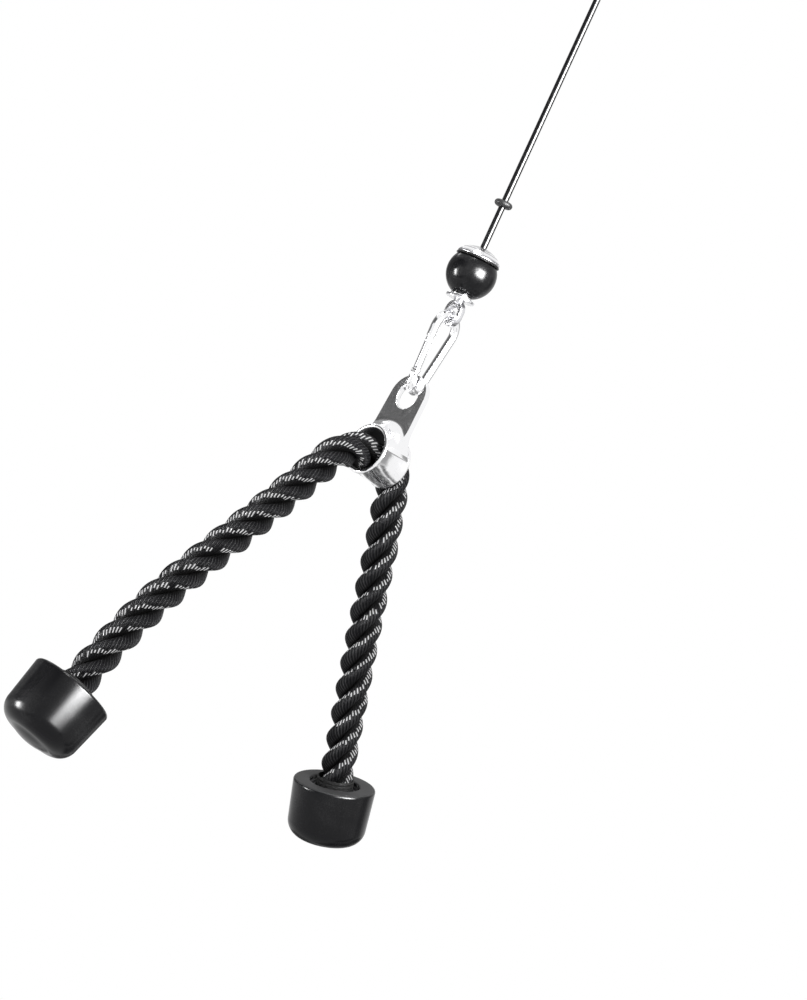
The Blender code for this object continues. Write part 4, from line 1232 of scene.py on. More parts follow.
@dataclass
class Terminal:
    """The pressed terminal on the cable's lower end, and its washer."""

    places: Places
    stop: BallStop
    shank_diameter: float = 8.0 * MM
    shank_above_ball: float = 1.0 * MM
    washer_diameter: float = 22.5 * MM
    washer_height: float = 2.0 * MM
    washer_edge: float = 0.4 * MM
    eye_thickness: float = 5.0 * MM
    eye_width: float = 16.8 * MM
    opening_width: float = 9.8 * MM
    opening_height: float = 11.2 * MM
    eye_foot: float = 4.5 * MM
    eye_crown: float = 5.2 * MM
    eye_edge: float = 0.8 * MM
    # Turns the shank's facets so that none lies in a plane of the eye
    facet_turn: float = pi / 192

    @property
    def washer_top(self) -> float:
        """Height of the washer's upper face."""
        return self.stop.flange_foot - SEAT_GAP

    @property
    def eye_top(self) -> float:
        """Height of the eye's crown."""
        return self.washer_top - self.washer_height - SEAT_GAP

    @staticmethod
    def slot(width: float, top: float, foot: float) -> list[Point]:
        """Upright outline with half-round ends between two heights.

        Args:
            width: Its width.
            top: Height of its crown.
            foot: Height of its foot.

        Returns:
            The outline, as (Y, Z) points.
        """
        radius = width / 2
        crown = arc((0, top - radius), radius, 0, pi, steps=28)
        return crown + arc((0, foot + radius), radius, pi, 2 * pi, steps=28)

    def build(self) -> None:
        """Make the terminal and its washer."""
        opening_top = self.eye_top - self.eye_crown
        opening_foot = opening_top - self.opening_height
        eye = self.slot(self.eye_width, self.eye_top, opening_foot - self.eye_foot)
        eye = rounded_edges(extruded(eye, self.eye_thickness), self.eye_edge, steps=4)
        shank = self.shank_diameter / 2
        edge = self.eye_edge
        foot = opening_top + self.eye_crown / 2
        crown = arc((shank - edge, self.shank_above_ball - edge), edge, 0, pi / 2, steps=5)
        stem = turned([(0, foot), (shank, foot), *crown, (0, self.shank_above_ball)], steps=48)
        stem = moved(stem, Matrix.Rotation(self.facet_turn, 4, "Z"))
        hole = self.flared_slot(self.slot(self.opening_width, opening_top, opening_foot),
                                (opening_top + opening_foot) / 2)
        shape = carved(eye, (stem, Carve.JOIN), (hole, Carve.CUT))
        settled(moved(shape, self.places.ball), "swaged_terminal", "cable_line", ZINC, ["cable_terminal"])
        self.build_washer()

    def flared_slot(self, outline: Sequence[Point], middle: float) -> BMesh:
        """Cutter for the eye that widens at both faces, which leaves the edges rounded.

        Args:
            outline: The opening, as (Y, Z) points.
            middle: Height of the opening's middle.

        Returns:
            The cutter.
        """
        half = self.eye_thickness / 2
        turn = Matrix.Rotation(pi / 2, 4, "Y") @ Matrix.Rotation(pi / 2, 4, "Z")
        levels: list[Point] = [(-half - CUT_OVERRUN, self.eye_edge + CUT_OVERRUN)]
        for angle in (0.0, pi / 6, pi / 3, pi / 2):
            levels.append((-half + self.eye_edge * sin(angle), self.eye_edge * (1 - cos(pi / 2 - angle))))
        levels += [(-x, spread) for x, spread in reversed(levels)]
        section = [(y, z - middle) for y, z in outline]
        stations = [Matrix.Translation((x, 0, middle)) @ turn for x, _ in levels]
        width = self.opening_width / 2
        return swept(section, stations, lambda i: (width + levels[i][1]) / width)

    def build_washer(self) -> None:
        """Plain washer that the ball stop rests on."""
        bore = self.shank_diameter / 2 + SEAT_GAP
        rim = self.washer_diameter / 2
        edge = self.washer_edge
        foot = self.washer_top - self.washer_height
        lower = arc((rim - edge, foot + edge), edge, -pi / 2, 0, steps=4)
        upper = arc((rim - edge, self.washer_top - edge), edge, 0, pi / 2, steps=4)
        outline = [(bore, foot), *lower, *upper, (bore, self.washer_top)]
        settled(moved(turned(outline, steps=96), self.places.ball), "plain_washer", "cable_line", ZINC,
                ["terminal_washer"])


@dataclass
class SnapHook:
    """A pear of round bar with a sprung gate."""

    places: Places
    bar: float = 7.0 * MM
    top_radius: float = 13.0 * MM
    foot_radius: float = 7.0 * MM
    bow_spacing: float = 43.2 * MM
    gate_bar: float = 5.8 * MM
    gate_length: float = 27.0 * MM
    gate_pivot_up_leg: float = 7.2 * MM
    gate_end_radius: float = 3.2 * MM
    gate_end_gap: float = 0.6 * MM
    gate_crown_edge: float = 0.9 * MM
    gate_slot: float = 3.0 * MM
    spring_bore_radius: float = 1.35 * MM
    spring_room: float = 12.6 * MM
    tongue_thickness: float = 2.4 * MM
    tongue_radius: float = 2.9 * MM
    tongue_slot_gap: float = 0.5 * MM
    nose_length: float = 4.8 * MM
    nose_width: float = 3.6 * MM
    head_width: float = 3.8 * MM
    head_length: float = 1.5 * MM
    nose_gap: float = 0.5 * MM
    rivet_diameter: float = 2.2 * MM
    rivet_head_diameter: float = 3.4 * MM
    rivet_head_height: float = 0.6 * MM
    rivet_dome: tuple[float, ...] = (0, pi / 10, pi / 5, pi / 3.2)
    sides: int = 36

    @property
    def slope(self) -> float:
        """Lean of each leg from the hook's middle line."""
        return asin((self.top_radius - self.foot_radius) / self.bow_spacing)

    @property
    def gate_frame(self) -> Matrix:
        """Frame on the gate's pivot: Z up the leg, X to the inside of the pear."""
        turn = self.places.hook.to_3x3().to_4x4() @ Matrix.Rotation(-self.slope, 4, "Y")
        return Matrix.Translation(self.places.gate_pivot) @ turn

    def line(self) -> list[Vector]:
        """Centre line of the bar in the hook's frame, from the nose to the gate's pivot.

        Returns:
            Places in the hook's frame.
        """
        foot_down = self.top_radius + self.bow_spacing
        leg_up = Vector((-sin(self.slope), 0, cos(self.slope)))
        leg_foot = Vector((-self.foot_radius * cos(self.slope), 0,
                           -foot_down - self.foot_radius * sin(self.slope)))
        nose = self.gate_pivot_up_leg + self.gate_length + self.gate_end_gap
        root = self.gate_pivot_up_leg - self.gate_end_radius - self.gate_end_gap
        bows = arc((0, -self.top_radius), self.top_radius, pi + self.slope, -self.slope, steps=44)
        bows += arc((0, -foot_down), self.foot_radius, -self.slope, -pi + self.slope, steps=36)
        return [leg_foot + leg_up * nose, *(Vector((x, 0, z)) for x, z in bows), leg_foot + leg_up * root]

    def build(self) -> None:
        """Make the body, the gate and the rivet, and dress the sealed spring and plunger."""
        self.build_body()
        self.build_gate()
        self.build_rivet()
        dressed("gate_spring", SPRING_STEEL)
        dressed("gate_plunger", SPRING_STEEL)

    def across_plate(self, outline: Sequence[Point], thickness: float) -> BMesh:
        """Plate of a given (X, Z) outline either side of the gate's middle plane."""
        shape = extruded([(-x, z) for x, z in outline], thickness)
        return moved(shape, Matrix.Rotation(-pi / 2, 4, "Z"))

    def rivet_bore(self, width: float) -> BMesh:
        """Cutter for the rivet through a plate of a given width.

        Args:
            width: The plate's thickness.

        Returns:
            The cutter, along the gate's Y.
        """
        reach = width / 2 + CUT_OVERRUN
        radius = self.rivet_diameter / 2 + SEAT_GAP
        return moved(turned([(0, -reach), (radius, -reach), (radius, reach), (0, reach)], steps=32),
                     Matrix.Rotation(pi / 2, 4, "X"))

    def build_body(self) -> None:
        """Bent bar with a tongue for the gate's fork and a headed nose."""
        place = self.places.hook
        section = arc((0, 0), self.bar / 2, 0, 2 * pi, self.sides)[:-1]
        bar = moved(swept(section, along_line(self.line(), ACROSS)), place)
        gate = self.gate_frame
        root = self.gate_end_radius + self.gate_end_gap + CUT_OVERRUN
        tongue = arc((0, 0), self.tongue_radius, 0, pi, steps=20)
        tongue += [(-self.tongue_radius, -root), (self.tongue_radius, -root)]
        top = self.gate_length + self.gate_end_gap + CUT_OVERRUN
        tip = self.gate_length + self.gate_end_gap - self.nose_length
        neck = block((self.nose_width, self.tongue_thickness, top - tip), (0, 0, (top + tip) / 2))
        head = block((self.nose_width, self.head_width, self.head_length), (0, 0, tip + self.head_length / 2))
        shape = carved(bar, (moved(self.across_plate(tongue, self.tongue_thickness), gate), Carve.JOIN),
                       (moved(self.rivet_bore(self.tongue_thickness), gate), Carve.CUT),
                       (moved(neck, gate), Carve.JOIN), (moved(head, gate), Carve.JOIN))
        settled(shape, "pear_hook", "hook", CHROME, ["hook_body"])

    def build_gate(self) -> None:
        """Gate bar with a fork, a rounded foot and a slot for the nose."""
        radius = self.gate_bar / 2
        edge = self.gate_crown_edge
        crown = arc((radius - edge, self.gate_length - edge), edge, 0, pi / 2, steps=6)
        bar = turned([(0, -self.gate_end_radius), (radius, -self.gate_end_radius), *crown,
                      (0, self.gate_length)], self.sides)
        wide = self.gate_bar + CUT_OVERRUN
        rounding: list[Point] = [(wide, 0), (wide, -wide), (-wide, -wide), (-wide, 0)]
        rounding += arc((0, 0), self.gate_end_radius - SEAT_GAP, pi, 2 * pi, steps=24)
        slot_top = self.tongue_radius + self.tongue_slot_gap
        fork = block((2 * wide, self.gate_slot, slot_top + wide), (0, 0, (slot_top - wide) / 2))
        bore_top = slot_top + self.spring_room + 2 * SEAT_GAP
        bore_radius = self.spring_bore_radius
        bore = turned([(0, 0), (bore_radius, 0), (bore_radius, bore_top), (0, bore_top)], steps=24)
        slot_foot = self.gate_length + self.gate_end_gap - self.nose_length - self.nose_gap
        slot_end = self.gate_length + wide
        neck = block((2 * wide, self.gate_slot, slot_end - slot_foot), (0, 0, (slot_end + slot_foot) / 2))
        head_height = self.head_length + 2 * self.nose_gap
        head = block((2 * wide, self.head_width + 2 * SEAT_GAP, head_height),
                     (0, 0, slot_foot + head_height / 2))
        shape = carved(bar, (self.across_plate(rounding, 2 * wide), Carve.CUT), (fork, Carve.CUT),
                       (self.rivet_bore(self.gate_bar), Carve.CUT), (bore, Carve.CUT), (neck, Carve.CUT),
                       (head, Carve.CUT))
        settled(moved(shape, self.gate_frame), "sprung_gate", "gate", CHROME, ["hook_gate"])

    def build_rivet(self) -> None:
        """Rivet with a low domed head on each side."""
        stem = self.rivet_diameter / 2
        head = self.rivet_head_diameter / 2
        inner = self.gate_bar / 2 + SEAT_GAP
        outer = inner + self.rivet_head_height
        dome = [(head * cos(a), inner + (outer - inner) * sin(a)) for a in self.rivet_dome]
        outline = both_ways([(stem, inner), *dome, (0, outer)])
        shape = moved(turned(outline, steps=32), self.gate_frame @ Matrix.Rotation(pi / 2, 4, "X"))
        settled(shape, "domed_rivet", "hook", CHROME, ["gate_rivet"])


@dataclass
class RopeConnector:
    """A casting whose flat lug flares into a short tube."""

    places: Places
    tube_diameter: float = 39.6 * MM
    tube_bore: float = 33.0 * MM
    tube_length: float = 30.0 * MM
    lip_swell: float = 0.7 * MM
    lug_thickness: float = 4.8 * MM
    lug_top_radius: float = 17.2 * MM
    hole_diameter: float = 19.5 * MM
    hole_edge: float = 1.2 * MM
    # Lifts the cutters' rims clear of the faces that they would only touch
    rim_lift: float = 0.03 * MM
    hole_above_tube: float = 49.0 * MM
    flare_radius: float = 12.4 * MM
    flare_top_above_tube: float = 31.5 * MM
    # Turns the flare's facets so that none lies in a plane of the lug
    facet_turn: float = pi / 320

    @property
    def tube_down(self) -> float:
        """Drop from the hook's lower bow to the tube's axis, read from the left leg's hinge."""
        hinge = self.places.connector.inverted() @ self.places.left_hinge
        return LEFT_ROUTE[HINGE_POINT][1] * MM - hinge.z

    @property
    def tube_frame(self) -> Matrix:
        """Frame whose Z runs along the tube."""
        return Matrix.Translation((0, 0, -self.tube_down)) @ Matrix.Rotation(pi / 2, 4, "Y")

    def build(self) -> None:
        """Make the casting."""
        radius = self.tube_diameter / 2 - self.lip_swell
        inner = self.tube_bore / 2
        wall = radius - inner
        half_lug = self.lug_thickness / 2
        lug_foot = wall - self.tube_down
        outline = [(-radius + SEAT_GAP, lug_foot), (radius - SEAT_GAP, lug_foot)]
        outline += arc((0, self.hole_above_tube - self.tube_down), self.lug_top_radius, 0, pi, steps=64)
        lug = extruded(outline, self.tube_length - 2 * self.lip_swell)

        wide = self.tube_length / 2 - wall
        reach = self.hole_above_tube + self.lug_top_radius + CUT_OVERRUN
        steepest = acos(1 - (wide - half_lug) / self.flare_radius)
        centre = (self.flare_top_above_tube, half_lug + self.flare_radius)
        hollow = arc(centre, self.flare_radius, -pi / 2 - steepest, -pi / 2, steps=24)
        right = [(0.0, wide), *hollow, (reach, half_lug)]
        flare = turned([(r, -x) for r, x in right] + right[::-1], steps=160)
        flare = moved(flare, self.tube_frame @ Matrix.Rotation(self.facet_turn, 4, "Z"))

        end = self.tube_length / 2
        lip = (radius + self.lip_swell - inner) / 2
        rod = [(radius, end - 2 * lip), *arc((inner + lip, end - lip), lip, 0, pi / 2, steps=8), (0.0, end)]
        tube = moved(turned(both_ways(rod), steps=120), self.tube_frame)
        mouth = [*arc((inner + lip, end - lip + self.rim_lift), lip, pi, pi / 2, steps=8),
                 (inner + lip, end + CUT_OVERRUN), (0.0, end + CUT_OVERRUN)]
        bore = moved(turned(both_ways(mouth), steps=120), self.tube_frame)
        shape = carved(lug, (flare, Carve.KEEP_SHARED), (tube, Carve.JOIN), (bore, Carve.CUT),
                       (self.hole_cutter(), Carve.CUT))
        # Its bore is painted dark as shade.
        finish = PolishedCasting("polished_casting", (0.9, 0.9, 0.91), 0.07, cloud_size=11 * MM,
                                 clouding=0.06, waviness=0.16 * MM, bore_radius=inner,
                                 bore_frame=self.places.connector @ self.tube_frame)
        settled(moved(shape, self.places.connector), "cast_connector", "connector", finish,
                ["rope_connector"])

    def hole_cutter(self) -> BMesh:
        """Cutter for the lug's hole, flared at both faces.

        Returns:
            The cutter, in the connector's frame.
        """
        hole = self.hole_diameter / 2
        half = self.lug_thickness / 2
        edge = self.hole_edge
        rim = [*arc((hole + edge, half - edge + self.rim_lift), edge, pi, pi / 2, steps=9),
               (hole + edge, half + CUT_OVERRUN), (0.0, half + CUT_OVERRUN)]
        up = self.hole_above_tube - self.tube_down
        through = Matrix.Translation((0, 0, up)) @ Matrix.Rotation(pi / 2, 4, "Y")
        return moved(turned(both_ways(rim), steps=96), through)


class Side(Enum):
    """Which leg of the rope."""

    LEFT = "left"
    RIGHT = "right"

    @property
    def outward(self) -> int:
        """Sign of X on this side."""
        return -1 if self is Side.LEFT else 1


@dataclass
class PullRope:
    """The rope: two legs from the middle of the tube, each with its rubber stop and binding."""

    places: Places
    connector: RopeConnector
    diameter: float = 26.0 * MM
    strands: int = 3
    lays: dict[Side, float] = field(default_factory=lambda: {Side.LEFT: 64.5 * MM, Side.RIGHT: 59.3 * MM})
    points_per_strand: int = 34
    pitch: float = 1.8 * MM
    sag_in_tube: float = 3.1 * MM
    halves_gap: float = 0.4 * MM
    in_stop: float = 32.0 * MM
    bend_before_hinge: float = 9.0 * MM
    bend_beyond_hinge: float = 22.0 * MM
    phases: dict[Side, float] = field(default_factory=lambda: {Side.LEFT: 0.29, Side.RIGHT: -0.4})

    @property
    def strand_reach(self) -> float:
        """Angle either side of a strand's middle over which it shows."""
        return pi / 2 + pi / self.strands

    def section(self) -> list[Point]:
        """Outline of the strands' bundle, from one groove round to it again.

        Returns:
            The outline, closed.
        """
        strand = self.diameter / 2 / (1 + 1 / sin(pi / self.strands))
        offset = self.diameter / 2 - strand
        reach = self.strand_reach
        points = []
        for index in range(self.strands):
            way = 2 * pi * index / self.strands
            centre = (offset * cos(way), offset * sin(way))
            points += arc(centre, strand, way - reach, way + reach, self.points_per_strand)[:-1]
        return points

    def way(self, side: Side) -> list[Vector]:
        """Centre line of one leg in the row frame, from the tube's middle into its stop.

        Args:
            side: Which leg.

        Returns:
            Places at an even pitch.
        """
        route = LEFT_ROUTE if side is Side.LEFT else RIGHT_ROUTE
        down = self.connector.tube_down
        places = [Vector((side.outward * self.halves_gap / 2, 0, -down - self.sag_in_tube))]
        places += [Vector((x * MM, 0, z * MM - down)) for x, z in route]
        line = eased(places, self.pitch)
        end = (places[-1] - places[-2]).normalized()
        count = round(self.in_stop / self.pitch)
        line += [places[-1] + end * self.in_stop * (i + 1) / count for i in range(count)]
        return [self.places.connector @ place for place in line]

    def build(self) -> None:
        """Make both legs with their stops."""
        for side in Side:
            self.build_leg(side)

    def build_leg(self, side: Side) -> None:
        """One leg, on a smooth line through the place where its joint turns.

        Args:
            side: Which leg.
        """
        line = self.way(side)
        turn = 2 * pi / self.lays[side]
        phase = self.phases[side]
        shape = swept(self.section(), along_line(line, ACROSS, lambda distance: phase + turn * distance))
        self.spread_uv(shape, -side.outward)
        name = side.value
        nodes = ["rope_leg_" + name, "rope_middle"]
        rope = settled(shape, "twisted_rope_" + name, None, YARN, nodes)
        hinge = self.places.left_hinge if side is Side.LEFT else self.places.right_hinge
        nearest = min(range(len(line)), key=lambda i: (line[i] - hinge).length)
        ahead = (line[nearest + 2] - line[nearest - 2]).normalized()
        hinge - ahead * self.bend_before_hinge
        hinge + ahead * self.bend_beyond_hinge
        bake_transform(rope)
        mouth = line[-round(self.in_stop / self.pitch) - 1]
        pieces = RubberStop(side, mouth, line[-1], self.diameter).build()
        length = sum((b - a).length for a, b in zip(line, line[1:]))

    def spread_uv(self, shape: BMesh, facing: int) -> None:
        """Map each strand by its number and its share of a strand's own turn.

        Args:
            shape: The rope, mapped by turns of the whole bundle.
            facing: Sign that runs both legs' patterns the same way.
        """
        uv = shape.loops.layers.uv.active
        reach = self.strand_reach / pi
        for face in shape.faces:
            turns = [loop[uv].uv.x * self.strands for loop in face.loops]
            strand = int(min(turns) + UV_MARGIN)
            for loop, value in zip(face.loops, turns):
                across = strand + 0.5 + facing * (value - strand - 0.5) * reach
                loop[uv].uv = (across, facing * loop[uv].uv.y)


@dataclass
class RubberStop:
    """A moulded rubber stop with a recess, and the binding round the rope where it enters."""

    side: Side
    face: Vector
    rope_end: Vector
    rope_diameter: float
    diameter: float = 63.0 * MM
    foot_diameter: float = 60.0 * MM
    height: float = 45.5 * MM
    top_edge: float = 2.4 * MM
    foot_edge: float = 13.5 * MM
    foot_crown: float = 3.0 * MM
    recess_diameter: float = 38.0 * MM
    recess_depth: float = 4.0 * MM
    recess_lip: float = 1.6 * MM
    binding_thickness: float = 1.0 * MM
    binding_below: float = 12.0 * MM
    binding_above: float = 4.2 * MM
    binding_turns: int = 6
    crown_shares: tuple[float, ...] = (0.8, 0.6, 0.4, 0.2)
    steps: int = 112

    def frame(self) -> Matrix:
        """Frame on the stop's upper face, Z back up the rope."""
        up = (self.face - self.rope_end).normalized()
        return axes_frame(self.face, ACROSS.cross(up), ACROSS, up)

    def build(self) -> list[bpy.types.Object]:
        """Make the stop and the binding.

        Returns:
            The stop and its binding.
        """
        name = self.side.value
        body = name + "_leg"
        place = self.frame()
        # The stop's upper face is painted lighter as light.
        rubber = StopMoulding("rubber_" + name, (0.005, 0.005, 0.006), 0.16, specular=0.15,
                              wave_size=20 * MM, dulling=0.1, face_frame=place)
        stop = settled(moved(turned(self.outline(), self.steps), place), "moulded_stop_" + name, body, rubber,
                       ["rubber_stop_" + name])
        inner = self.rope_diameter / 2 + SEAT_GAP
        bead = (self.binding_above + self.binding_below) / self.binding_turns
        root = self.binding_thickness / 3
        binding = [(inner, -self.binding_below)]
        for turn in range(self.binding_turns):
            middle = -self.binding_below + bead * (turn + 0.5)
            for angle in (-pi / 2, -pi / 4, 0, pi / 4, pi / 2)[turn > 0:]:
                binding.append((inner + root + (self.binding_thickness - root) * cos(angle),
                                middle + bead / 2 * sin(angle)))
        binding.append((inner, self.binding_above))
        wrap = settled(moved(turned(binding, steps=64), place), "twine_binding_" + name, body, BINDING,
                       ["rope_binding_" + name])
        return [stop, wrap]

    def outline(self) -> list[Point]:
        """Section of the stop; height zero is the rim of its upper face.

        Returns:
            The section, as (radius, height) points from the socket's floor to the foot.
        """
        rope = self.rope_diameter / 2 + SEAT_GAP
        socket = rope + self.binding_thickness + SEAT_GAP
        step = self.binding_below + SEAT_GAP
        floor = -(self.rope_end - self.face).length - SEAT_GAP
        top = self.diameter / 2
        foot = self.foot_diameter / 2
        recess = self.recess_diameter / 2
        lip = self.recess_lip
        outline = [(0.0, floor), (rope, floor), (rope, -step), (socket, -step), (socket, -self.recess_depth)]
        outline += arc((recess - lip, -self.recess_depth + lip), lip, -pi / 2, 0, steps=6)
        outline += arc((recess + lip, -lip), lip, pi, pi / 2, steps=6)
        outline += arc((top - self.top_edge, -self.top_edge), self.top_edge, pi / 2, 0, steps=12)
        flat = foot - self.foot_edge
        outline += arc((flat, -self.height + self.foot_edge), self.foot_edge, 0, -pi / 2, steps=18)
        for share in self.crown_shares:
            outline.append((flat * share, -self.height - self.foot_crown * (1 - share ** 2)))
        return outline + [(0.0, -self.height - self.foot_crown)]


# Camera and studio

@dataclass
class PhotoCamera:
    """The camera at the photograph's viewing angle, placed about the hook's upper bow."""

    places: Places
    offset: Vector = field(default_factory=lambda: Vector((-1355.0, -1412.9, -345.8)) * MM)
    forward: Vector = field(default_factory=lambda: Vector((0.6998, 0.7065, 0.1057)))
    roll: float = radians(27.86)
    lens: float = 96.9
    sensor: float = 36.0
    clip_end: float = 100.0

    def matrix(self) -> Matrix:
        """The camera's place: it leans with the hanging hook.

        Returns:
            The camera's frame.
        """
        hang = self.places.connector.to_3x3().to_4x4()
        ahead = self.forward.normalized()
        level = ahead.cross(Vector((0, 0, 1))).normalized()
        above = level.cross(ahead)
        right = level * cos(self.roll) + above * sin(self.roll)
        up = above * cos(self.roll) - level * sin(self.roll)
        view = axes_frame(self.offset, right, up, -ahead)
        return Matrix.Translation(self.places.hook.translation) @ hang @ view

    def build(self) -> Matrix:
        """Make the camera.

        Returns:
            The camera's frame.
        """
        lens = bpy.data.cameras.new("photo_camera")
        lens.lens = self.lens
        lens.sensor_width = self.sensor
        lens.clip_end = self.clip_end
        camera = bpy.data.objects.new("photo_camera", lens)
        camera.matrix_world = self.matrix()
        bpy.context.scene.collection.objects.link(camera)
        bpy.context.scene.camera = camera
        return camera.matrix_world.copy()


@dataclass(frozen=True)
class Softbox:
    """A soft rectangular lamp: its direction from the object in the camera's axes, reach, size and power."""

    name: str
    way: Direction
    reach: float
    width: float
    height: float
    power: float


@dataclass(frozen=True)
class Card:
    """A bright panel or a dark card that only metal and gloss see.

    Its shade holds in the middle, but for clouds and stripes, and clears over the soft share
    of its half width.
    """

    name: str
    way: Direction
    reach: float
    width: float
    height: float
    shade: float
    soft: float = 0.6
    mottle: float = 0.0
    mottle_size: float = 0.06
    mottle_edge: Span = (0.4, 0.75)
    stripes: float = 0.0
    stripe_power: float = 8.0
    stripe_share: float = 0.7


@dataclass
class Studio:
    """White surroundings, soft lamps, and bright panels and dark cards for the metal to reflect."""

    camera: Matrix
    focus: Vector
    floor_height: float = -1.25
    floor_size: float = 5.0
    floor_shade: Colour = (0.9, 0.9, 0.9)
    floor_glow: float = 0.7
    floor_fade: Span = (0.6, 2.2)
    ambient: float = 0.85
    softboxes: tuple[Softbox, ...] = (
        Softbox("lamp_right", (0.68, 0.0, 0.734), 1.5, 0.5, 0.5, 7.0),
        Softbox("lamp_left", (-0.936, 0.178, 0.303), 1.5, 0.5, 0.7, 7.0),
        Softbox("lamp_top", (0.2, 0.96, 0.198), 1.6, 0.5, 0.4, 7.0),
    )
    cards: tuple[Card, ...] = (
        Card("panel_right", (0.65, -0.01, 0.76), 1.5, 1.6, 1.3, 130.0, soft=0.75),
        Card("panel_front", (0.42, 0.26, 0.87), 1.45, 0.7, 0.5, 30.0, soft=0.8),
        Card("panel_left", (-0.95, 0.2, 0.2), 1.5, 0.4, 0.9, 100.0, soft=0.7),
        Card("panel_far_left", (-0.66, 0.2, -0.72), 1.5, 0.3, 0.5, 16.0, soft=0.7),
        Card("panel_top", (0.2, 0.96, 0.198), 1.6, 0.55, 0.35, 80.0, soft=0.7),
        Card("panel_top_left", (-0.39, 0.72, -0.56), 1.6, 0.35, 0.25, 20.0, soft=0.7),
        Card("dark_upper_left", (-0.81, 0.58, -0.04), 1.4, 1.3, 1.3, 0.08, soft=0.35, mottle=0.16),
        Card("dark_over", (-0.57, 0.72, 0.39), 1.18, 1.5, 0.7, 0.1, soft=0.4, mottle=0.1),
        Card("dark_low_left", (-0.8, -0.3, 0.5), 1.3, 1.1, 0.6, 0.1, soft=0.4, mottle=0.2),
        Card("dark_low_right", (0.5, -0.6, 0.6), 1.3, 0.16, 0.8, 0.1, soft=0.5),
        Card("dark_below", (-0.02, -0.9, -0.43), 0.8, 1.3, 0.75, 0.08, soft=0.3, mottle=0.4, stripes=3.0),
        Card("grey_behind_right", (0.8, -0.45, -0.38), 1.3, 0.7, 1.4, 0.35, soft=0.5),
        Card("grey_behind_left", (-0.62, 0.33, -0.72), 1.3, 1.3, 1.6, 0.3, soft=0.4),
        Card("grey_behind_top", (0.4, 0.72, -0.56), 1.5, 0.8, 0.3, 0.3, soft=0.6),
    )

    def build(self) -> None:
        """Set the scene up round the object."""
        scene = bpy.context.scene
        scene.view_settings.view_transform = "Standard"
        self.build_world(scene)
        self.build_floor()
        for lamp in self.softboxes:
            self.build_softbox(lamp)
        for card in self.cards:
            self.build_card(card)

    def facing(self, way: Sequence[float], reach: float) -> Matrix:
        """Frame at a reach from the object, in a direction in the camera's axes, that looks back at it.

        Args:
            way: Direction from the object.
            reach: Distance from it.

        Returns:
            The frame, whose Z points away from the object.
        """
        out = (self.camera.to_3x3() @ Vector(way)).normalized()
        side = Vector((0, 0, 1)).cross(out).normalized()
        return axes_frame(self.focus + out * reach, side, out.cross(side), out)

    def build_world(self, scene: bpy.types.Scene) -> None:
        """White for the camera, gloss and glass, and a softer light on the object.

        Args:
            scene: The scene that it lights.
        """
        world = bpy.data.worlds.new("studio")
        world.use_nodes = True
        scene.world = world
        nodes = world.node_tree.nodes
        links = world.node_tree.links
        rays = nodes.new("ShaderNodeLightPath")
        seen = rays.outputs["Is Camera Ray"]
        for name in ("Is Glossy Ray", "Is Transmission Ray"):
            total = nodes.new("ShaderNodeMath")
            total.operation = "MAXIMUM"
            links.new(seen, total.inputs[0])
            links.new(rays.outputs[name], total.inputs[1])
            seen = total.outputs[0]
        strength = nodes.new("ShaderNodeMapRange")
        strength.inputs["To Min"].default_value = self.ambient
        links.new(seen, strength.inputs["Value"])
        background = nodes["Background"]
        background.inputs["Color"].default_value = (1, 1, 1, 1)
        links.new(strength.outputs["Result"], background.inputs["Strength"])

    def build_floor(self) -> None:
        """Plain floor that keeps the object's shadow and clears to white with distance."""
        shape = bmesh.new()
        bmesh.ops.create_grid(shape, x_segments=1, y_segments=1, size=self.floor_size / 2)
        bmesh.ops.translate(shape, vec=(0, 0, self.floor_height), verts=shape.verts)
        floor = linked(shape, "floor")
        graph = Graph("white_floor")
        graph.dress({"Base Color": (*self.floor_shade, 1), "Roughness": 1.0, "Specular IOR Level": 0.0})
        rays = graph.node("ShaderNodeLightPath")
        seen = graph.maths("MAXIMUM", Wire(graph, rays.outputs["Is Camera Ray"]),
                           Wire(graph, rays.outputs["Is Glossy Ray"]))
        glow = graph.node("ShaderNodeEmission", None, {"Color": (1, 1, 1, 1), "Strength": 1.0})
        far = graph.off_axis().step(*self.floor_fade)
        mix = graph.node("ShaderNodeMixShader", None, {
            0: seen * (far * (1 - self.floor_glow) + self.floor_glow),
            1: Wire(graph, graph.shader.outputs[0]), 2: Wire(graph, glow.outputs[0])})
        graph.tree.links.new(mix.outputs[0], graph.output.inputs["Surface"])
        floor.data.materials.append(graph.material)

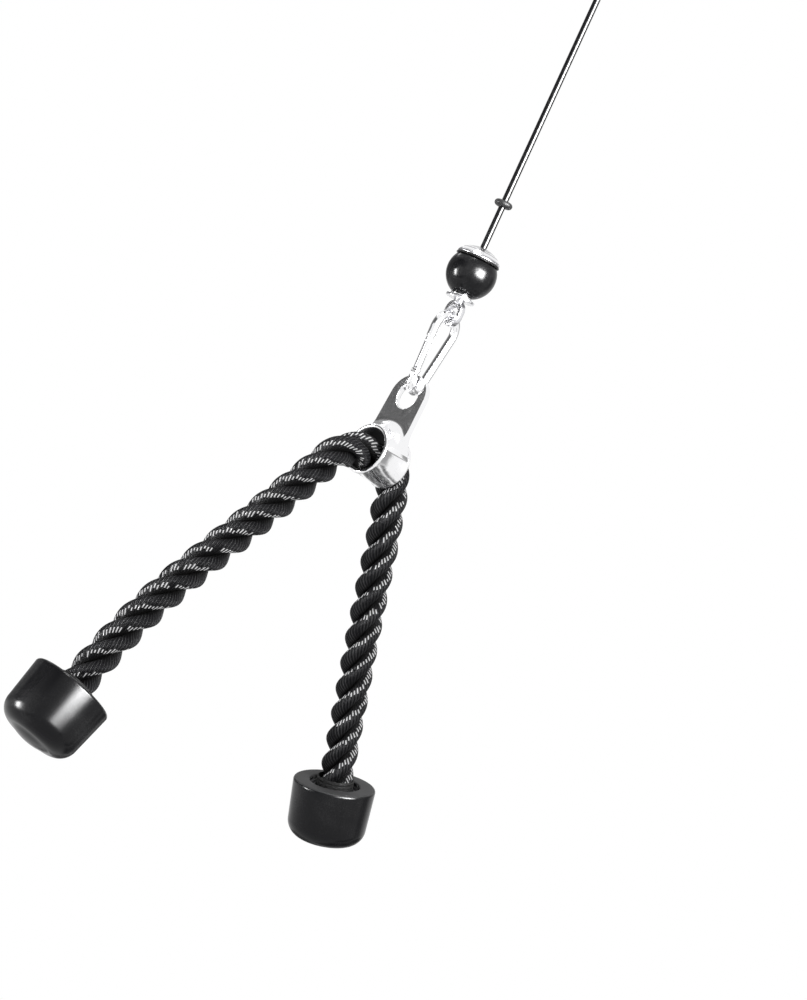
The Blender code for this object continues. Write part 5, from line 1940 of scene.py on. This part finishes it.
    def build_softbox(self, lamp: Softbox) -> None:
        """One soft lamp.

        Args:
            lamp: Its place, size and power.
        """
        light = bpy.data.lights.new(lamp.name, "AREA")
        light.shape = "RECTANGLE"
        light.size = lamp.width
        light.size_y = lamp.height
        light.energy = lamp.power
        holder = bpy.data.objects.new(lamp.name, light)
        holder.matrix_world = self.facing(lamp.way, lamp.reach)
        holder.visible_camera = False
        bpy.context.scene.collection.objects.link(holder)

    def build_card(self, card: Card) -> None:
        """One card, with a UV map from -1 to 1 across it.

        Args:
            card: Its place, size and shade.
        """
        shape = bmesh.new()
        bmesh.ops.create_grid(shape, x_segments=1, y_segments=1, size=0.5)
        uv = shape.loops.layers.uv.new("UVMap")
        for face in shape.faces:
            for loop in face.loops:
                loop[uv].uv = loop.vert.co.xy * 2
        bmesh.ops.scale(shape, vec=(card.width, card.height, 1), verts=shape.verts)
        moved(shape, self.facing(card.way, card.reach))
        board = linked(shape, card.name)
        graph = Graph(card.name)
        u, v, _ = graph.split(uv_of(graph))
        across, along = (1.0 - side.distance_to(0.0).step(1 - card.soft, 1.0) for side in (u, v))
        shade = graph.noise(card.mottle_size, detail=3.0).step(*card.mottle_edge) * card.mottle + card.shade
        if card.stripes:
            stripe = (u * (card.stripes / 2)).wave() ** card.stripe_power
            shade = shade + stripe * card.stripe_share
        graph.dress({"Base Color": (0, 0, 0, 1), "Specular IOR Level": 0.0,
                     "Emission Color": graph.joined(shade, shade, shade), "Emission Strength": 1.0,
                     "Alpha": across * along})
        board.data.materials.append(graph.material)
        board.visible_camera = False
        board.visible_diffuse = False
        board.visible_shadow = False
        board.visible_transmission = False


def main() -> None:
    """Build the sub-assemblies, the camera and the studio in order."""
    logging.basicConfig(level=logging.INFO, format="%(message)s")
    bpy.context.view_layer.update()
    places = Places.read()
    view = PhotoCamera(places).build()
    CableLine(places).build()
    stop = BallStop(places)
    stop.build()
    Terminal(places, stop).build()
    SnapHook(places).build()
    connector = RopeConnector(places)
    connector.build()
    PullRope(places, connector).build()
    Studio(view, places.hook.translation.copy()).build()


if __name__ == "__main__":
    main()
